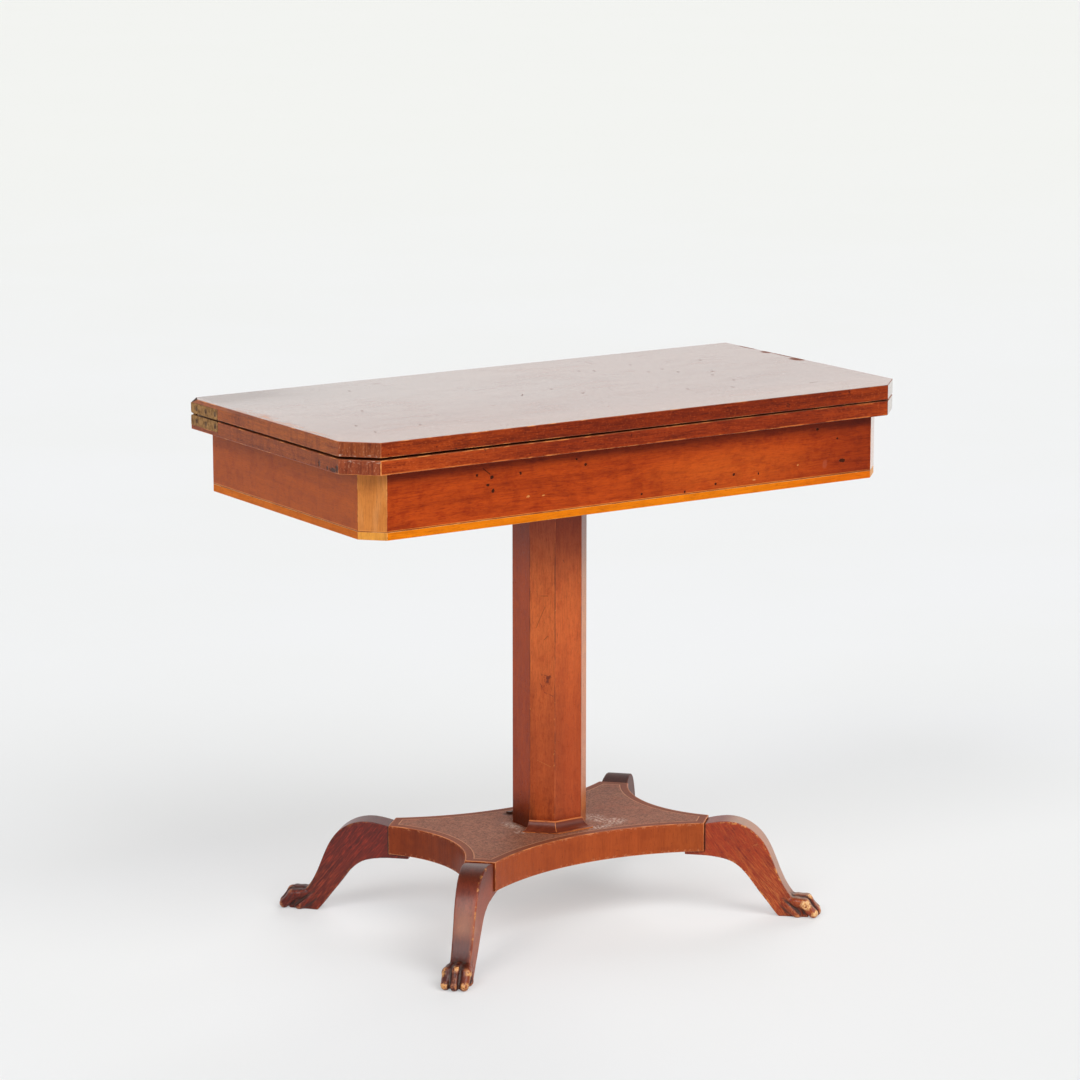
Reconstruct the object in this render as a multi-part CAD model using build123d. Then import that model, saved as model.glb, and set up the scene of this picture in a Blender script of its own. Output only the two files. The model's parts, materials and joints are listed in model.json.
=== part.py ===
from build123d import *
import math
import os

# A card table on a pedestal. Two leaves of the same outline lie on each other
# on a shallow box frieze. They are hinged together along the back edge, and
# the lower one turns on a bolt in the frieze. Turned by a quarter and opened
# like a book, the two leaves lie side by side on the frieze as a square top.
# Millimetres. Z is up and the floor is at zero. X runs along the table, the
# front is at minus Y and the hinges are at plus Y. The origin is on the floor
# on the axis of the column.

# Whole table
table_height = 760.0
overrun = 5.0
glue_fit = 0.05
running_fit = 0.06
sliding_fit = 0.3

# Leaves
top_length = 910.0
top_front = 235.0
top_back = 207.5
top_cant = 40.0
leaf_thickness = 20.4
leaf_gap = 2.4
leaf_back_rounding = 3.0

# Baize on the two inner faces
baize_margin = 58.0
baize_back_margin = 9.0
baize_thickness = 1.2
baize_recess = 0.8

# Hinges in the ends of the leaves
plate_length = 76.0
plate_height = 14.4
plate_thickness = 2.5
plate_corner = 2.4
hinge_pin_inset = 5.0
hinge_pin_radius = 1.8
hinge_pin_head_radius = 2.9
hinge_pin_head_thickness = 1.2
hinge_link_radius = 3.5
hinge_link_thickness = 2.5
hinge_link_play = 0.15
hinge_slot_play = 0.6
hinge_screw_first = 16.0
hinge_screw_spacing = 26.5
hinge_screw_count = 3
hinge_screw_length = 22.0

# Small countersunk screws, in the hinge plates and the pivot plate
screw_radius = 1.9
screw_head_radius = 3.5
screw_head_depth = 2.0
screw_slot_width = 0.8
screw_slot_depth = 0.7

# Larger countersunk screws, in the legs and under the frieze
big_screw_radius = 2.5
big_screw_head_radius = 4.8
big_screw_head_depth = 3.0
leg_screw_length = 28.0
leg_screw_inset = 14.0
bearer_screw_length = 40.0
bearer_screw_inset = 18.0

# Frieze box under the leaves, which overhang it on every side
end_overhang = 29.5
front_overhang = 15.0
back_overhang = 6.0
frieze_cant = 28.0
frieze_height = 90.0
rail_thickness = 22.0
band_height = 10.5
band_depth = 3.0
housing_depth = 6.0

# Card well in the left half of the frieze
well_floor_thickness = 8.0
well_floor_lift = 6.0
divider_thickness = 16.0
divider_drop = 1.0

# Bearer that the column is fixed in, with its cleats
bearer_length = 160.0
bearer_thickness = 28.0
cleat_size = 20.0
cleat_end_inset = 6.0

# Glue blocks in the right corners
glue_block_size = 30.0
glue_block_end_inset = 8.0

# Pivot of the lower leaf
pivot_rail_width = 96.0
pivot_rail_thickness = 28.0
pivot_plate_length = 110.0
pivot_plate_width = 44.0
pivot_plate_thickness = 4.0
pivot_screw_inset = 12.0
pivot_screw_length = 14.0
pivot_bolt_radius = 6.0
pivot_head_radius = 12.0
pivot_head_thickness = 4.0
pivot_bolt_tail = 6.0
pivot_washer_radius = 15.0
pivot_washer_thickness = 2.5
pivot_nut_width = 20.0
pivot_nut_thickness = 10.0
pivot_nut_play = 0.2

# Peg under the lower leaf and the cleat that it stops against
stop_peg_radius = 10.0
stop_peg_drop = 18.0
stop_peg_seat = 9.0
stop_cleat_thickness = 20.0
stop_cleat_height = 20.0
stop_cleat_drop = 1.0
stop_cleat_past_peg = 12.0

# Column, a square post with broad chamfers
column_across = 96.0
column_face_width = 44.6
column_tenon_radius = 25.0
wedge_width = 6.0
wedge_depth_share = 0.85
wedge_tip_share = 0.25

# Moulding round the foot of the column
moulding_height = 14.0
moulding_reach = 18.5
moulding_lip = 2.2
moulding_hollow_shares = (0.42, 0.36)

# Platform with four hollow sides
platform_top = 134.0
platform_thickness = 42.0
platform_length = 415.0
platform_depth = 266.0
platform_corner_cut = 31.0
platform_front_hollow = 45.0
platform_side_hollow = 36.0

# Legs, on the diagonals of the platform
leg_reach = 167.5
leg_top = 137.0
leg_root_width = 38.0
leg_ankle_width = 29.0
leg_lip_length = 28.0
leg_lip_thickness = 7.0
leg_root_drop = 2.5
leg_dowel_radius = 5.0
leg_dowel_length = 50.0
leg_dowel_share = 0.25

# Outline of a leg from the joint to the ankle: shares of leg_reach along it
# and of leg_top up it
leg_top_shares = [
    (0.10, 0.988),
    (0.20, 1.0),
    (0.355, 0.957),
    (0.485, 0.832),
    (0.575, 0.640),
    (0.630, 0.475),
    (0.685, 0.335),
    (0.755, 0.215),
]
leg_under_shares = [
    (0.645, 0.0),
    (0.550, 0.145),
    (0.478, 0.255),
    (0.412, 0.365),
    (0.338, 0.475),
    (0.238, 0.568),
    (0.120, 0.608),
]
leg_heel_share = 0.90
leg_straight_share = 0.09
leg_ankle_share = 0.68

# Paw: three toes in front, one on each side
toe_spacing = 12.6
toe_knuckle_radius = 8.2
toe_pad_radius = 7.0
toe_knuckle_share = 0.875
toe_knuckle_height = 21.0
toe_pad_height = 6.2
toe_root_share = 0.72
toe_root_height = 20.0
side_toe_radius = 6.6
side_toe_offset = 14.6
side_toe_root_share = 0.70
side_toe_root_across_share = 0.25
side_toe_pad_share = 0.80
side_toe_root_height = 23.0
outer_toe_shortening = 2.5
outer_toe_lowering = 1.8

# Sizes that follow from the ones above
frieze_top = table_height - 2 * leaf_thickness - leaf_gap
frieze_bottom = frieze_top - frieze_height
lower_leaf_top = frieze_top + leaf_thickness
upper_leaf_bottom = lower_leaf_top + leaf_gap
half_top = top_length / 2
half_frieze = half_top - end_overhang
frieze_front = top_front - front_overhang
frieze_back = top_back - back_overhang
rail_inner_front = frieze_front - rail_thickness
rail_inner_back = frieze_back - rail_thickness
pivot_x = (top_back + leaf_gap / 2) / 2
pivot_y = pivot_x
hinge_pin_y = top_back - hinge_pin_inset
lower_pin_z = lower_leaf_top - hinge_pin_inset
upper_pin_z = upper_leaf_bottom + hinge_pin_inset
platform_bottom = platform_top - platform_thickness
leg_root_x = (platform_length - platform_corner_cut) / 2
leg_root_y = (platform_depth - platform_corner_cut) / 2


def block(x_range, y_range, z_range):
    """A box between two values on each axis."""
    corner = Pos(x_range[0], y_range[0], z_range[0])
    size_x = x_range[1] - x_range[0]
    size_y = y_range[1] - y_range[0]
    size_z = z_range[1] - z_range[0]
    return corner * Box(size_x, size_y, size_z, align=(Align.MIN, Align.MIN, Align.MIN))


def prism(points, bottom, top):
    """A flat outline raised from one height to another."""
    outline = Polygon(*points, align=None)
    return Pos(0, 0, bottom) * extrude(outline, amount=top - bottom)


def rod(radius, start, end):
    """A round rod from one point to another."""
    axis = Vector(*end) - Vector(*start)
    base = Plane(origin=start, z_dir=axis)
    return base * Cylinder(radius, axis.length, align=(Align.CENTER, Align.CENTER, Align.MIN))


def taper(start_radius, end_radius, start, end):
    """A round rod that narrows evenly from one point to another."""
    axis = Vector(*end) - Vector(*start)
    base = Plane(origin=start, z_dir=axis)
    low = (Align.CENTER, Align.CENTER, Align.MIN)
    if start_radius == end_radius:
        return base * Cylinder(start_radius, axis.length, align=low)
    return base * Cone(start_radius, end_radius, axis.length, align=low)


def ball(radius, place):
    return Pos(*place) * Sphere(radius)


def mirrored(shape):
    """The same shape on the other end of the table."""
    return mirror(shape, about=Plane.YZ)


def inset(points, depth):
    """The outline drawn in by a depth on every side, corner by corner."""
    inner = []
    for index, point in enumerate(points):
        before = Vector(*points[index - 1])
        here = Vector(*point)
        after = Vector(*points[(index + 1) % len(points)])
        way_in = (here - before).normalized()
        way_out = (after - here).normalized()
        normal_in = Vector(-way_in.Y, way_in.X)
        normal_out = Vector(-way_out.Y, way_out.X)
        bisector = (normal_in + normal_out).normalized()
        shift = bisector * (depth / bisector.dot(normal_in))
        inner.append((here.X + shift.X, here.Y + shift.Y))
    return inner


def side_strip(outline, side, depth, bottom, top):
    """One side of a mitred frame along the outline."""
    inner = inset(outline, depth)
    after = (side + 1) % len(outline)
    points = [outline[side], outline[after], inner[after], inner[side]]
    return prism(points, bottom, top)


def countersunk_screw(radius, head_radius, head_depth, length, slot_width, slot_depth):
    """A wood screw with its head at zero, pointing along plus Z."""
    head = Cone(head_radius, radius, head_depth, align=(Align.CENTER, Align.CENTER, Align.MIN))
    shank = Cylinder(radius, length, align=(Align.CENTER, Align.CENTER, Align.MIN))
    slot = block(
        (-head_radius - overrun, head_radius + overrun),
        (-slot_width / 2, slot_width / 2),
        (-slot_depth, slot_depth),
    )
    return head + shank - slot


def small_screw(length):
    return countersunk_screw(
        screw_radius,
        screw_head_radius,
        screw_head_depth,
        length,
        screw_slot_width,
        screw_slot_depth,
    )


def big_screw(length):
    return countersunk_screw(
        big_screw_radius,
        big_screw_head_radius,
        big_screw_head_depth,
        length,
        screw_slot_width * big_screw_radius / screw_radius,
        screw_slot_depth * big_screw_radius / screw_radius,
    )


def screw_hole(screw, radius, head_radius, head_depth, length):
    """What a screw takes out of the pieces that it goes through."""
    head = Cone(head_radius, radius, head_depth, align=(Align.CENTER, Align.CENTER, Align.MIN))
    shank = Cylinder(radius, length, align=(Align.CENTER, Align.CENTER, Align.MIN))
    return screw * (head + shank)


def small_hole(place, length):
    return screw_hole(place, screw_radius, screw_head_radius, screw_head_depth, length)


def big_hole(place, length):
    return screw_hole(place, big_screw_radius, big_screw_head_radius, big_screw_head_depth, length)


# Leaves


def leaf_outline(margin, back_margin):
    """The outline of a leaf, drawn in by a margin, counter-clockwise."""
    end = half_top - margin
    front = -(top_front - margin)
    back = top_back - back_margin
    cant = top_cant - margin * (2 - math.sqrt(2))
    return [
        (-end + cant, front),
        (end - cant, front),
        (end, front + cant),
        (end, back),
        (-end, back),
        (-end, front + cant),
    ]


def leaf_board(bottom, inner_face):
    """A leaf with its back arris rounded on the inner face, and its baize bed."""
    top = bottom + leaf_thickness
    board = prism(leaf_outline(0, 0), bottom, top)
    inward = 1 if inner_face == top else -1
    arris = [
        edge
        for edge in board.edges().filter_by(Axis.X)
        if edge.center().Y > top_back - leaf_back_rounding
        and abs(edge.center().Z - inner_face) < leaf_back_rounding
    ]
    board = fillet(arris, leaf_back_rounding)
    bed_outline = leaf_outline(baize_margin, baize_back_margin)
    bed_bottom = inner_face - inward * baize_recess
    bed_top = inner_face + inward * overrun
    return board - prism(bed_outline, min(bed_bottom, bed_top), max(bed_bottom, bed_top))


def baize(inner_face, inward):
    """The cloth glued in the bed of a leaf."""
    seat = inner_face - inward * baize_recess
    face = seat + inward * baize_thickness
    outline = leaf_outline(baize_margin + glue_fit, baize_back_margin + glue_fit)
    return prism(outline, min(seat, face), max(seat, face))


# Hinges, drawn at the right end and mirrored for the left


def hinge_plate_blank(inner_face, outward, fit):
    """The brass plate let into the end of a leaf, flush with its end and edges."""
    back = top_back + fit
    front = top_back - plate_length - fit
    far = inner_face + outward * (plate_height + fit)
    near = inner_face
    inner_x = half_top - plate_thickness - fit
    return block((inner_x, half_top), (front, back), (min(near, far), max(near, far)))


def hinge_plate(inner_face, outward, pin_z):
    """A plate with rounded corners, its pin hole and its screw holes."""
    plate = hinge_plate_blank(inner_face, outward, 0)
    edges = plate.edges().filter_by(Axis.X)
    swinging = [
        edge
        for edge in edges
        if edge.center().Y > top_back - plate_corner
        and abs(edge.center().Z - inner_face) < plate_corner
    ]
    plate = fillet(swinging, leaf_back_rounding)
    front_edges = [
        edge
        for edge in plate.edges().filter_by(Axis.X)
        if edge.center().Y < top_back - plate_length + plate_corner
    ]
    plate = fillet(front_edges, plate_corner)
    hole_start = (half_top - plate_thickness - overrun, hinge_pin_y, pin_z)
    hole_end = (half_top + overrun, hinge_pin_y, pin_z)
    plate -= rod(hinge_pin_radius + glue_fit, hole_start, hole_end)
    for place in hinge_screw_places(inner_face, outward):
        plate -= small_hole(place, hinge_screw_length)
    return plate


def hinge_screw_places(inner_face, outward):
    """Where the screws of one plate go in, heads flush with the plate."""
    height = inner_face + outward * plate_height / 2
    places = []
    for index in range(hinge_screw_count):
        from_back = hinge_screw_first + index * hinge_screw_spacing
        place = Pos(half_top, top_back - from_back, height) * Rot(0, -90, 0)
        places.append(place)
    return places


def hinge_screws(inner_face, outward):
    screw = small_screw(hinge_screw_length)
    right = [place * screw for place in hinge_screw_places(inner_face, outward)]
    return right + [mirrored(turned) for turned in right]


def hinge_slot(inner_face, outward):
    """The slot behind a plate that the link swings in, open at the back."""
    link_side = half_top - plate_thickness
    depth = 2 * hinge_link_play + hinge_link_thickness + hinge_pin_head_thickness + hinge_slot_play
    reach = hinge_pin_inset + hinge_link_radius + hinge_slot_play
    far = inner_face + outward * reach
    near = inner_face - outward * overrun
    return block(
        (link_side - depth, link_side + glue_fit),
        (top_back - reach, top_back + overrun),
        (min(near, far), max(near, far)),
    )


def hinge_pin(pin_z):
    """A pin riveted in its plate, with a head behind the link."""
    outer = half_top
    link_side = half_top - plate_thickness
    head_face = link_side - 2 * hinge_link_play - hinge_link_thickness
    end = head_face - hinge_pin_head_thickness
    shank = rod(hinge_pin_radius, (head_face, hinge_pin_y, pin_z), (outer, hinge_pin_y, pin_z))
    head = rod(hinge_pin_head_radius, (end, hinge_pin_y, pin_z), (head_face, hinge_pin_y, pin_z))
    return shank + head


def hinge_pins(pin_z):
    right = hinge_pin(pin_z)
    return [right, mirrored(right)]


def hinge_link():
    """The bar that joins the two pins of one hinge."""
    outer = half_top - plate_thickness - hinge_link_play
    inner = outer - hinge_link_thickness
    lower = (inner, hinge_pin_y, lower_pin_z)
    upper = (inner, hinge_pin_y, upper_pin_z)
    bar = block(
        (inner, outer),
        (hinge_pin_y - hinge_link_radius, hinge_pin_y + hinge_link_radius),
        (lower_pin_z, upper_pin_z),
    )
    for centre in (lower, upper):
        bar += rod(hinge_link_radius, centre, (outer, centre[1], centre[2]))
    for centre in (lower, upper):
        start = (inner - overrun, centre[1], centre[2])
        end = (outer + overrun, centre[1], centre[2])
        bar -= rod(hinge_pin_radius + running_fit, start, end)
    return bar


def hinged_leaf(board, inner_face, outward):
    """Let the plates, their screws and the link slots into both ends."""
    cut = hinge_plate_blank(inner_face, outward, glue_fit) + hinge_slot(inner_face, outward)
    for place in hinge_screw_places(inner_face, outward):
        cut += small_hole(place, hinge_screw_length)
    return board - cut - mirrored(cut)


def upper_leaf():
    board = leaf_board(upper_leaf_bottom, upper_leaf_bottom)
    return hinged_leaf(board, upper_leaf_bottom, 1)


def lower_leaf():
    board = leaf_board(frieze_top, lower_leaf_top)
    board = hinged_leaf(board, lower_leaf_top, -1)
    board -= pivot_plate_blank(glue_fit)
    board -= rod(
        pivot_head_radius + glue_fit,
        (pivot_x, pivot_y, frieze_top),
        (pivot_x, pivot_y, frieze_top + pivot_plate_thickness + pivot_head_thickness + glue_fit),
    )
    board -= stop_peg_rod(stop_peg_radius + glue_fit)
    for place in pivot_screw_places():
        board -= small_hole(place, pivot_screw_length)
    return board


# Pivot


def pivot_plate_blank(fit):
    """The iron plate let into the underside of the lower leaf."""
    half_length = pivot_plate_length / 2 + fit
    half_width = pivot_plate_width / 2 + fit
    return block(
        (pivot_x - half_width, pivot_x + half_width),
        (pivot_y - half_length, pivot_y + half_length),
        (frieze_top, frieze_top + pivot_plate_thickness),
    )


def pivot_screw_places():
    """The four screws of the pivot plate, heads down."""
    off_x = pivot_plate_width / 2 - pivot_screw_inset
    off_y = pivot_plate_length / 2 - pivot_screw_inset
    return [
        Pos(pivot_x + side_x * off_x, pivot_y + side_y * off_y, frieze_top)
        for side_x in (-1, 1)
        for side_y in (-1, 1)
    ]


def pivot_plate():
    plate = pivot_plate_blank(0)
    hole_bottom = (pivot_x, pivot_y, frieze_top - overrun)
    hole_top = (pivot_x, pivot_y, frieze_top + pivot_plate_thickness + overrun)
    plate -= rod(pivot_bolt_radius + glue_fit, hole_bottom, hole_top)
    for place in pivot_screw_places():
        plate -= small_hole(place, pivot_screw_length)
    return plate


def pivot_screws():
    return [place * small_screw(pivot_screw_length) for place in pivot_screw_places()]


def pivot_washer_top():
    return frieze_top - pivot_rail_thickness


def pivot_nut_top():
    return pivot_washer_top() - pivot_washer_thickness - pivot_nut_play


def pivot_bolt():
    """The bolt, riveted in its plate with the head in the leaf."""
    head_bottom = frieze_top + pivot_plate_thickness
    head_top = head_bottom + pivot_head_thickness
    tail = pivot_nut_top() - pivot_nut_thickness - pivot_bolt_tail
    shank = rod(pivot_bolt_radius, (pivot_x, pivot_y, tail), (pivot_x, pivot_y, head_bottom))
    head = rod(pivot_head_radius, (pivot_x, pivot_y, head_bottom), (pivot_x, pivot_y, head_top))
    return shank + head


def pivot_nut():
    top = pivot_nut_top()
    bottom = top - pivot_nut_thickness
    half = pivot_nut_width / 2
    nut = block((pivot_x - half, pivot_x + half), (pivot_y - half, pivot_y + half), (bottom, top))
    start = (pivot_x, pivot_y, bottom - overrun)
    end = (pivot_x, pivot_y, top + overrun)
    return nut - rod(pivot_bolt_radius + glue_fit, start, end)


def pivot_washer():
    top = pivot_washer_top()
    bottom = top - pivot_washer_thickness
    disc = rod(pivot_washer_radius, (pivot_x, pivot_y, bottom), (pivot_x, pivot_y, top))
    start = (pivot_x, pivot_y, bottom - overrun)
    end = (pivot_x, pivot_y, top + overrun)
    return disc - rod(pivot_bolt_radius + sliding_fit, start, end)


def pivot_rail():
    """The flat rail from front to back that the bolt goes through."""
    half = pivot_rail_width / 2
    rail = block(
        (pivot_x - half, pivot_x + half),
        (-rail_inner_front - housing_depth, rail_inner_back + housing_depth),
        (frieze_top - pivot_rail_thickness, frieze_top),
    )
    start = (pivot_x, pivot_y, frieze_top - pivot_rail_thickness - overrun)
    end = (pivot_x, pivot_y, frieze_top + overrun)
    return rail - rod(pivot_bolt_radius + running_fit, start, end)


def stop_peg_arm():
    """How far the peg is from the pivot along X and along Y, at both ends."""
    return rail_inner_back - pivot_y - stop_peg_radius - sliding_fit


def stop_peg_rod(radius):
    place_x = pivot_x + stop_peg_arm()
    place_y = pivot_y - stop_peg_arm()
    bottom = frieze_top - stop_peg_drop
    top = frieze_top + stop_peg_seat
    return rod(radius, (place_x, place_y, bottom), (place_x, place_y, top))


def stop_peg():
    """The peg that stops the turn, against the cleat and the back rail."""
    return stop_peg_rod(stop_peg_radius)


def stop_cleat():
    """The cleat on the side of the pivot rail that stops the peg at rest."""
    side = pivot_x + pivot_rail_width / 2
    face = pivot_y - stop_peg_arm() - stop_peg_radius - sliding_fit
    far = pivot_x + stop_peg_arm() + stop_cleat_past_peg
    top = frieze_top - stop_cleat_drop
    return block(
        (side, far),
        (face - stop_cleat_thickness, face),
        (top - stop_cleat_height, top),
    )


# Frieze


def frieze_outline():
    """The outline of the frieze, counter-clockwise from the front side."""
    front = -frieze_front
    cant = frieze_cant
    return [
        (-half_frieze + cant, front),
        (half_frieze - cant, front),
        (half_frieze, front + cant),
        (half_frieze, frieze_back),
        (-half_frieze, frieze_back),
        (-half_frieze, front + cant),
    ]


frieze_side_names = ("front", "corner_right", "right", "back", "left", "corner_left")


def frieze_strip(side, depth, top):
    """A strip along one side of the frieze, from its foot up."""
    number = frieze_side_names.index(side)
    return side_strip(frieze_outline(), number, depth, frieze_bottom, top)


def frieze_band(side):
    """The light band let into the foot of one side."""
    return frieze_strip(side, band_depth, frieze_bottom + band_height)


def frieze_rail(side, banded, housed):
    """One side of the frieze with its rebate and the housings cut in it."""
    rail = frieze_strip(side, rail_thickness, frieze_top)
    if banded:
        rail -= frieze_band(side)
    for piece in housed:
        rail -= piece
    return rail


def well_floor():
    """The bottom of the card well, in grooves on all sides."""
    bottom = frieze_bottom + well_floor_lift
    top = bottom + well_floor_thickness
    grooved = prism(inset(frieze_outline(), rail_thickness - housing_depth), bottom, top)
    right_end = -bearer_length / 2 - divider_thickness + housing_depth
    return grooved & block((-half_frieze, right_end), (-frieze_front, frieze_back), (bottom, top))


def well_divider():
    """The board between the card well and the bearer."""
    divider = block(
        (-bearer_length / 2 - divider_thickness, -bearer_length / 2),
        (-rail_inner_front - housing_depth, rail_inner_back + housing_depth),
        (frieze_bottom, frieze_top - divider_drop),
    )
    return divider - well_floor()


def bearer_screw_places():
    """Screws up through the bearer, two in each cleat."""
    off_x = bearer_length / 2 - bearer_screw_inset
    front = -rail_inner_front + cleat_size / 2
    back = rail_inner_back - cleat_size / 2
    return [Pos(side * off_x, row, frieze_bottom) for side in (-1, 1) for row in (front, back)]


def column_bearer():
    """The board inside the frieze that the column is wedged in."""
    board = block(
        (-bearer_length / 2, bearer_length / 2),
        (-rail_inner_front, rail_inner_back),
        (frieze_bottom, frieze_bottom + bearer_thickness),
    )
    start = (0, 0, frieze_bottom - overrun)
    end = (0, 0, frieze_bottom + bearer_thickness + overrun)
    board -= rod(column_tenon_radius + glue_fit, start, end)
    for place in bearer_screw_places():
        board -= big_hole(place, bearer_screw_length)
    return board


def bearer_cleat(inner_face, inward):
    """A cleat glued along a rail on top of the bearer."""
    half = bearer_length / 2 - cleat_end_inset
    far = inner_face + inward * cleat_size
    bottom = frieze_bottom + bearer_thickness
    cleat = block(
        (-half, half),
        (min(inner_face, far), max(inner_face, far)),
        (bottom, bottom + cleat_size),
    )
    for place in bearer_screw_places():
        cleat -= big_hole(place, bearer_screw_length)
    return cleat


def bearer_screws():
    return [place * big_screw(bearer_screw_length) for place in bearer_screw_places()]


def glue_blocks():
    """Blocks in the two right corners, where there is no well."""
    inner = inset(frieze_outline(), rail_thickness)
    bottom = frieze_bottom + glue_block_end_inset
    top = frieze_top - glue_block_end_inset
    front_start = inner[1]
    front_end = inner[2]
    front_points = [
        front_start,
        front_end,
        (front_end[0], front_end[1] + glue_block_size),
        (front_start[0] - glue_block_size, front_end[1] + glue_block_size),
        (front_start[0] - glue_block_size, front_start[1]),
    ]
    back_x = inner[3][0]
    back_y = inner[3][1]
    back_points = [
        (back_x - glue_block_size, back_y - glue_block_size),
        (back_x, back_y - glue_block_size),
        (back_x, back_y),
        (back_x - glue_block_size, back_y),
    ]
    return [prism(front_points, bottom, top), prism(back_points, bottom, top)]


# Column


def octagon(spread):
    """The section of the column, grown outward by a spread on every face."""
    flat = column_across / 2 + spread
    half_face = column_face_width / 2 + spread * math.tan(math.pi / 8)
    return [
        (half_face, -flat),
        (flat, -half_face),
        (flat, half_face),
        (half_face, flat),
        (-half_face, flat),
        (-flat, half_face),
        (-flat, -half_face),
        (-half_face, -flat),
    ]


def tenon_wedge(foot, top):
    """A wedge driven into the end of a tenon, from its foot to the top face."""
    tip = wedge_width * wedge_tip_share / 2
    half = wedge_width / 2
    profile = [(-tip, foot), (tip, foot), (half, top), (-half, top)]
    face = Plane.YZ * Polygon(*profile, align=None)
    slab = extrude(face, amount=column_tenon_radius, both=True)
    low = (0, 0, min(foot, top))
    high = (0, 0, max(foot, top))
    return slab & rod(column_tenon_radius, low, high)


def upper_wedge():
    top = frieze_bottom + bearer_thickness
    return tenon_wedge(top - bearer_thickness * wedge_depth_share, top)


def lower_wedge():
    foot = platform_bottom + platform_thickness * wedge_depth_share
    return tenon_wedge(foot, platform_bottom)


def column():
    """The column with a round tenon at each end."""
    post = prism(octagon(0), platform_top, frieze_bottom)
    post += rod(column_tenon_radius, (0, 0, platform_bottom), (0, 0, platform_top))
    top = frieze_bottom + bearer_thickness
    post += rod(column_tenon_radius, (0, 0, frieze_bottom), (0, 0, top))
    return post - upper_wedge() - lower_wedge()


def moulding_strip(start, end):
    """One length of the moulding, mitred where the column's faces meet."""
    along = (end - start).normalized()
    outward = Vector(along.Y, -along.X)
    middle = (start + end) * 0.5
    section_plane = Plane(
        origin=(middle.X, middle.Y, platform_top),
        x_dir=(outward.X, outward.Y, 0),
        z_dir=(-along.X, -along.Y, 0),
    )
    reach = moulding_reach
    top = moulding_height
    lip = moulding_lip
    hollow = (reach * moulding_hollow_shares[0], top * moulding_hollow_shares[1])
    outline = [
        Line((0, 0), (reach, 0)),
        Line((reach, 0), (reach, lip)),
        ThreePointArc((reach, lip), hollow, (lip, top)),
        Line((lip, top), (0, top)),
        Line((0, top), (0, 0)),
    ]
    face = section_plane * make_face(outline)
    half = (end - start).length / 2 + reach
    length = extrude(face, amount=half, both=True)
    growth = (reach + overrun) / start.length
    outer_start = start * (1 + growth)
    outer_end = end * (1 + growth)
    sector = [(0, 0), (outer_start.X, outer_start.Y), (outer_end.X, outer_end.Y)]
    return length & prism(sector, platform_top, platform_top + moulding_height)


# Platform and legs


def platform_outline():
    """Four hollow sides between four cut corners."""
    half_x = platform_length / 2
    half_y = platform_depth / 2
    in_x = half_x - platform_corner_cut
    in_y = half_y - platform_corner_cut
    low_y = half_y - platform_front_hollow
    low_x = half_x - platform_side_hollow
    return [
        ThreePointArc((-in_x, -half_y), (0, -low_y), (in_x, -half_y)),
        Line((in_x, -half_y), (half_x, -in_y)),
        ThreePointArc((half_x, -in_y), (low_x, 0), (half_x, in_y)),
        Line((half_x, in_y), (in_x, half_y)),
        ThreePointArc((in_x, half_y), (0, low_y), (-in_x, half_y)),
        Line((-in_x, half_y), (-half_x, in_y)),
        ThreePointArc((-half_x, in_y), (-low_x, 0), (-half_x, -in_y)),
        Line((-half_x, -in_y), (-in_x, -half_y)),
    ]


leg_corners = ("front_left", "front_right", "back_left", "back_right")


def leg_place(corner):
    """The frame of a leg: X outward on the diagonal, Z up from the floor."""
    side_x = -1 if corner.endswith("left") else 1
    side_y = -1 if corner.startswith("front") else 1
    turn = math.degrees(math.atan2(side_y, side_x))
    return Pos(side_x * leg_root_x, side_y * leg_root_y, 0) * Rot(0, 0, turn)


def leg_dowels_in_place(radius, length):
    """The two dowels of a leg, side by side in the platform's edge."""
    height = platform_bottom + platform_thickness / 2
    spread = leg_root_width * leg_dowel_share
    half = length / 2
    return [rod(radius, (-half, off, height), (half, off, height)) for off in (-spread, spread)]


def leg_screw_place():
    return Pos(-leg_screw_inset, 0, platform_bottom - leg_lip_thickness)


def leg_profile():
    """The leg seen from the side, without its toes."""
    joint_top = (0, platform_top - leg_root_drop)
    lip_bottom = platform_bottom - leg_lip_thickness
    over = [joint_top]
    for along, up in leg_top_shares:
        over.append((along * leg_reach, up * leg_top))
    under = []
    for along, up in leg_under_shares:
        under.append((along * leg_reach, up * leg_top))
    under.append((0, lip_bottom))
    ankle = over[-1]
    front = (leg_heel_share * leg_reach, toe_pad_height)
    toe_end = (leg_heel_share * leg_reach, 0)
    lip_end = (-leg_lip_length, lip_bottom)
    lip_top = (-leg_lip_length, platform_bottom)
    joint_bottom = (0, platform_bottom)
    outline = [
        Spline(*over),
        Line(ankle, front),
        Line(front, toe_end),
        Line(toe_end, under[0]),
        Spline(*under, tangents=[(-1, 1), (-1, 0)]),
        Line(under[-1], lip_end),
        Line(lip_end, lip_top),
        Line(lip_top, joint_bottom),
        Line(joint_bottom, joint_top),
    ]
    return Plane.XZ * make_face(outline)


def leg_width_outline():
    """The leg seen from above: it narrows to the ankle and widens to the paw."""
    root = leg_root_width / 2
    ankle = leg_ankle_width / 2
    paw = toe_spacing
    stations = [
        (-leg_lip_length, root),
        (leg_straight_share * leg_reach, root),
        (leg_ankle_share * leg_reach, ankle),
        (leg_heel_share * leg_reach, paw),
    ]
    right = [(along, -half) for along, half in stations]
    left = [(along, half) for along, half in reversed(stations)]
    return right + left


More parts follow.
